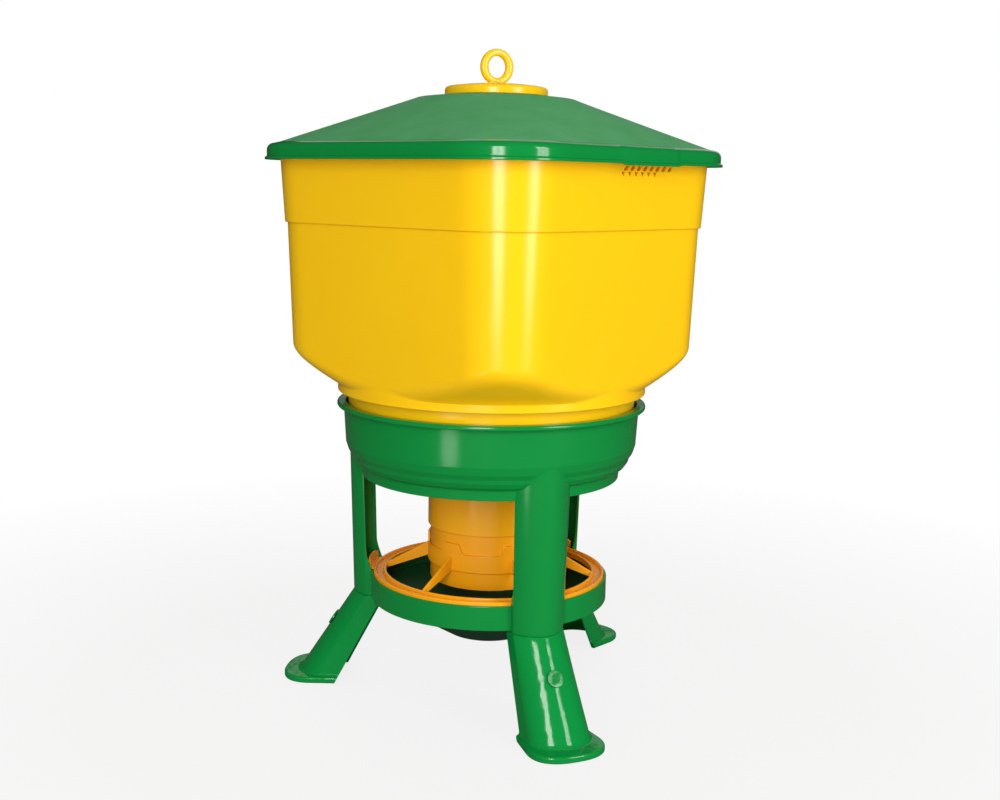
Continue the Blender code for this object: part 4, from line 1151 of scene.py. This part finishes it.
def eye_ring_skin():
    """Ring with a soft-cornered bar: a superellipse carried round an ellipse that is a little tall.

    The bar's half thickness goes from that of the sides to that of the top as the sine squared.
    """
    turn = full_turn(96)[None, :]
    section = full_turn(48)[:, None]
    power = 0.78
    thick = eye_bar_top + (eye_bar_side - eye_bar_top) * np.sin(turn) ** 2
    out = thick * np.sign(np.cos(section)) * np.abs(np.cos(section)) ** power
    deep = eye_bar_depth * np.sign(np.sin(section)) * np.abs(np.sin(section)) ** power + 0.0 * turn
    return skin(np.stack([(eye_ring_half_width + out) * np.sin(turn), deep,
                          ring_centre - (eye_ring_half_height + out) * np.cos(turn)], axis=-1))


def eye_neck_skin():
    """Neck between cap and ring: ellipses whose half axes flare out as the cube of the way down."""
    top = ring_centre - eye_ring_half_height + 0.4 * eye_bar_top
    low = cap_base + eye_cap_crown_height - eye_neck_sink
    share = np.linspace(0.0, 1.0, 20)[:, None]
    flare = (1.0 - share) ** 3
    wide = eye_neck_half_width + eye_neck_flare_width * flare
    deep = eye_neck_half_depth + eye_neck_flare_depth * flare
    turn = full_turn(small_turn)[None, :]
    height = low + (top - low) * share + 0.0 * turn
    grid = np.stack([wide * np.cos(turn), deep * np.sin(turn), height], axis=-1)
    on_axis = [0.0, 0.0, 1.0]
    return skin(np.concatenate([grid[:1] * on_axis, grid, grid[-1:] * on_axis]), wrap_rows=False)


eye = solid("lid_eye_moulding", [eye_ring_skin()])
merge(eye, solid("eye_neck", [eye_neck_skin()]))
blend = eye.modifiers.new("one skin", "REMESH")
blend.mode = "VOXEL"
blend.voxel_size = eye_skin_step
blend.use_smooth_shade = True
even = eye.modifiers.new("soft joints", "SMOOTH")
even.factor = 0.5
even.iterations = 24
apply_modifiers(eye)
merge(eye, cap, "UNION", 50.0)
coat(eye, yellow_glossy)
finish_piece(eye, "lid_body", "yellow", "lid_eye")


# Nut
# The yellow nut on the eye's stem, under the lid's crown, keeps its solid and gets the moulding's
# material.
coat(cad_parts["lid_eye_nut"], yellow_glossy)


# Floor
# A plain pale floor, white to the camera but for the feeder's soft shadow. The glossy pieces
# mirror it darker than it is: a painted darker reflection, which keeps a pale veil off their edges.
floor_half_side = 12.0
floor_white_share = 0.84
floor_white_from = 0.55
floor_white_to = 1.5
floor_mesh = bpy.data.meshes.new("floor")
corners = floor_half_side * np.array([(-1.0, -1.0, 0.0), (1.0, -1.0, 0.0), (1.0, 1.0, 0.0), (-1.0, 1.0, 0.0)])
floor_mesh.from_pydata(corners.tolist(), [], [(0, 1, 2, 3)])
floor = add_object("floor", floor_mesh)
floor_paint, tree, shader, place = new_material("pale_floor_paint")
glow = add_node(tree, "ShaderNodeEmission", {"Color": (1.0, 1.0, 1.0, 1.0), "Strength": 1.0})
rays = add_node(tree, "ShaderNodeLightPath")
# Painted reflection: glossy rays see the floor in a dark grey in place of its pale colour
paint = add_node(tree, "ShaderNodeMix", {"Factor": rays.outputs["Is Glossy Ray"], "A": linear("b4b4b0"),
                                         "B": linear("50504e")}, data_type="RGBA")
set_inputs(tree, shader, {"Base Color": paint.outputs["Result"], "Roughness": 0.9,
                          "Specular IOR Level": 0.1})
away = add_node(tree, "ShaderNodeVectorMath", {0: place}, operation="LENGTH")
white_share = add_node(tree, "ShaderNodeMapRange", {"Value": away.outputs["Value"],
                                                    "From Min": floor_white_from, "From Max": floor_white_to,
                                                    "To Min": floor_white_share, "To Max": 1.0})
seen_share = add_node(tree, "ShaderNodeMath", {0: rays.outputs["Is Camera Ray"],
                                               1: white_share.outputs["Result"]}, operation="MULTIPLY")
mixed = add_node(tree, "ShaderNodeMixShader", {"Fac": seen_share.outputs["Value"],
                                               1: shader.outputs["BSDF"], 2: glow.outputs["Emission"]})
tree.links.new(mixed.outputs["Shader"], tree.nodes["Material Output"].inputs["Surface"])
coat(floor, floor_paint)


# Light
# A dim room with two tall windows behind the camera, one on each side, a soft lamp at the back, and
# a paper and a card that show only in reflections. The background is white to the camera alone.
room_level = 0.42
glossy_level = 0.03        # the room as glossy pieces mirror it
world = bpy.data.worlds.new("white_studio")
world.use_nodes = True
bpy.context.scene.world = world
tree = world.node_tree
background = tree.nodes["Background"]
rays = add_node(tree, "ShaderNodeLightPath")
base = add_node(tree, "ShaderNodeMix", {"Factor": rays.outputs["Is Glossy Ray"], "A": room_level,
                                        "B": glossy_level}, data_type="FLOAT")
clear = add_node(tree, "ShaderNodeMath", {0: rays.outputs["Is Camera Ray"],
                                          1: rays.outputs["Is Transmission Ray"]}, operation="MAXIMUM")
level = add_node(tree, "ShaderNodeMix", {"Factor": clear.outputs["Value"], "A": base.outputs["Result"],
                                         "B": 1.0}, data_type="FLOAT")
background.inputs["Color"].default_value = (1.0, 1.0, 1.0, 1.0)
tree.links.new(level.outputs["Result"], background.inputs["Strength"])


def soft_light(name, azimuth, distance, height, width, tall, power, aim_height=0.45):
    """Rectangular lamp at an azimuth and a distance from the axis, facing a height on the axis."""
    lamp = bpy.data.lights.new(name, "AREA")
    lamp.shape = "RECTANGLE"
    lamp.size = width
    lamp.size_y = tall
    lamp.energy = power
    shape = add_object(name, lamp)
    angle = math.radians(azimuth)
    shape.location = (distance * math.sin(angle), -distance * math.cos(angle), height)
    pitch = math.atan2(height - aim_height, distance)
    shape.rotation_euler = (math.pi / 2.0 - pitch, 0.0, angle)
    return shape


def window(name, azimuth, panes, pane_width, power):
    """Row of tall panes with bars between them, so that polished plastic mirrors a window."""
    distance, height, tall, bar = 2.6, 1.15, 2.0, 0.05
    for k in range(panes):
        turn = math.degrees((k - (panes - 1) / 2.0) * (pane_width + bar) / distance)
        soft_light(f"{name}_pane_{k}", azimuth + turn, distance, height, pane_width, tall, power / panes)


window("window_left", azimuth=330.0, panes=2, pane_width=0.30, power=45.0)
window("window_right", azimuth=25.0, panes=3, pane_width=0.19, power=33.0)
back_light = soft_light("back_light", azimuth=165.0, distance=2.8, height=1.9, width=1.6, tall=1.4,
                        power=30.0)
back_light.visible_glossy = False
# The white paper behind the feeder, which polished edges mirror
paper = soft_light("backdrop_paper", azimuth=150.0, distance=2.8, height=1.75, width=2.4, tall=1.7,
                   power=6.0)
# A small card near the floor, which the seat's wall and skirt mirror as a soft spot
card = soft_light("low_card", azimuth=309.0, distance=1.0, height=0.13, width=0.22, tall=0.10,
                  power=0.24, aim_height=0.13)
card.data.shape = "ELLIPSE"
for mirrored in (paper, card):
    mirrored.visible_diffuse = False
    mirrored.visible_camera = False


# Camera
# A standing view from the front left, a little above the feeder's seat, as in the photograph.
camera_azimuth = math.radians(-23.0)
camera_distance = 1.8896
camera_height = 0.7321
camera_pitch = 0.1615
camera_roll = 0.0175
camera_yaw = 0.0065
camera_lens = 47.91
camera_sensor_width = 36.0
camera_data = bpy.data.cameras.new("camera")
camera_data.lens = camera_lens
camera_data.sensor_width = camera_sensor_width
camera = add_object("camera", camera_data)
stance = (Matrix.Rotation(camera_azimuth, 4, "Z")
          @ Matrix.Translation((0.0, -camera_distance, camera_height)))
aim = Matrix.Rotation(-camera_yaw, 4, "Z") @ Matrix.Rotation(math.pi / 2.0 - camera_pitch, 4, "X")
camera.matrix_world = stance @ aim @ Matrix.Rotation(camera_roll, 4, "Z")
bpy.context.scene.camera = camera
bpy.context.scene.view_settings.view_transform = "Standard"

bpy.context.view_layer.update()
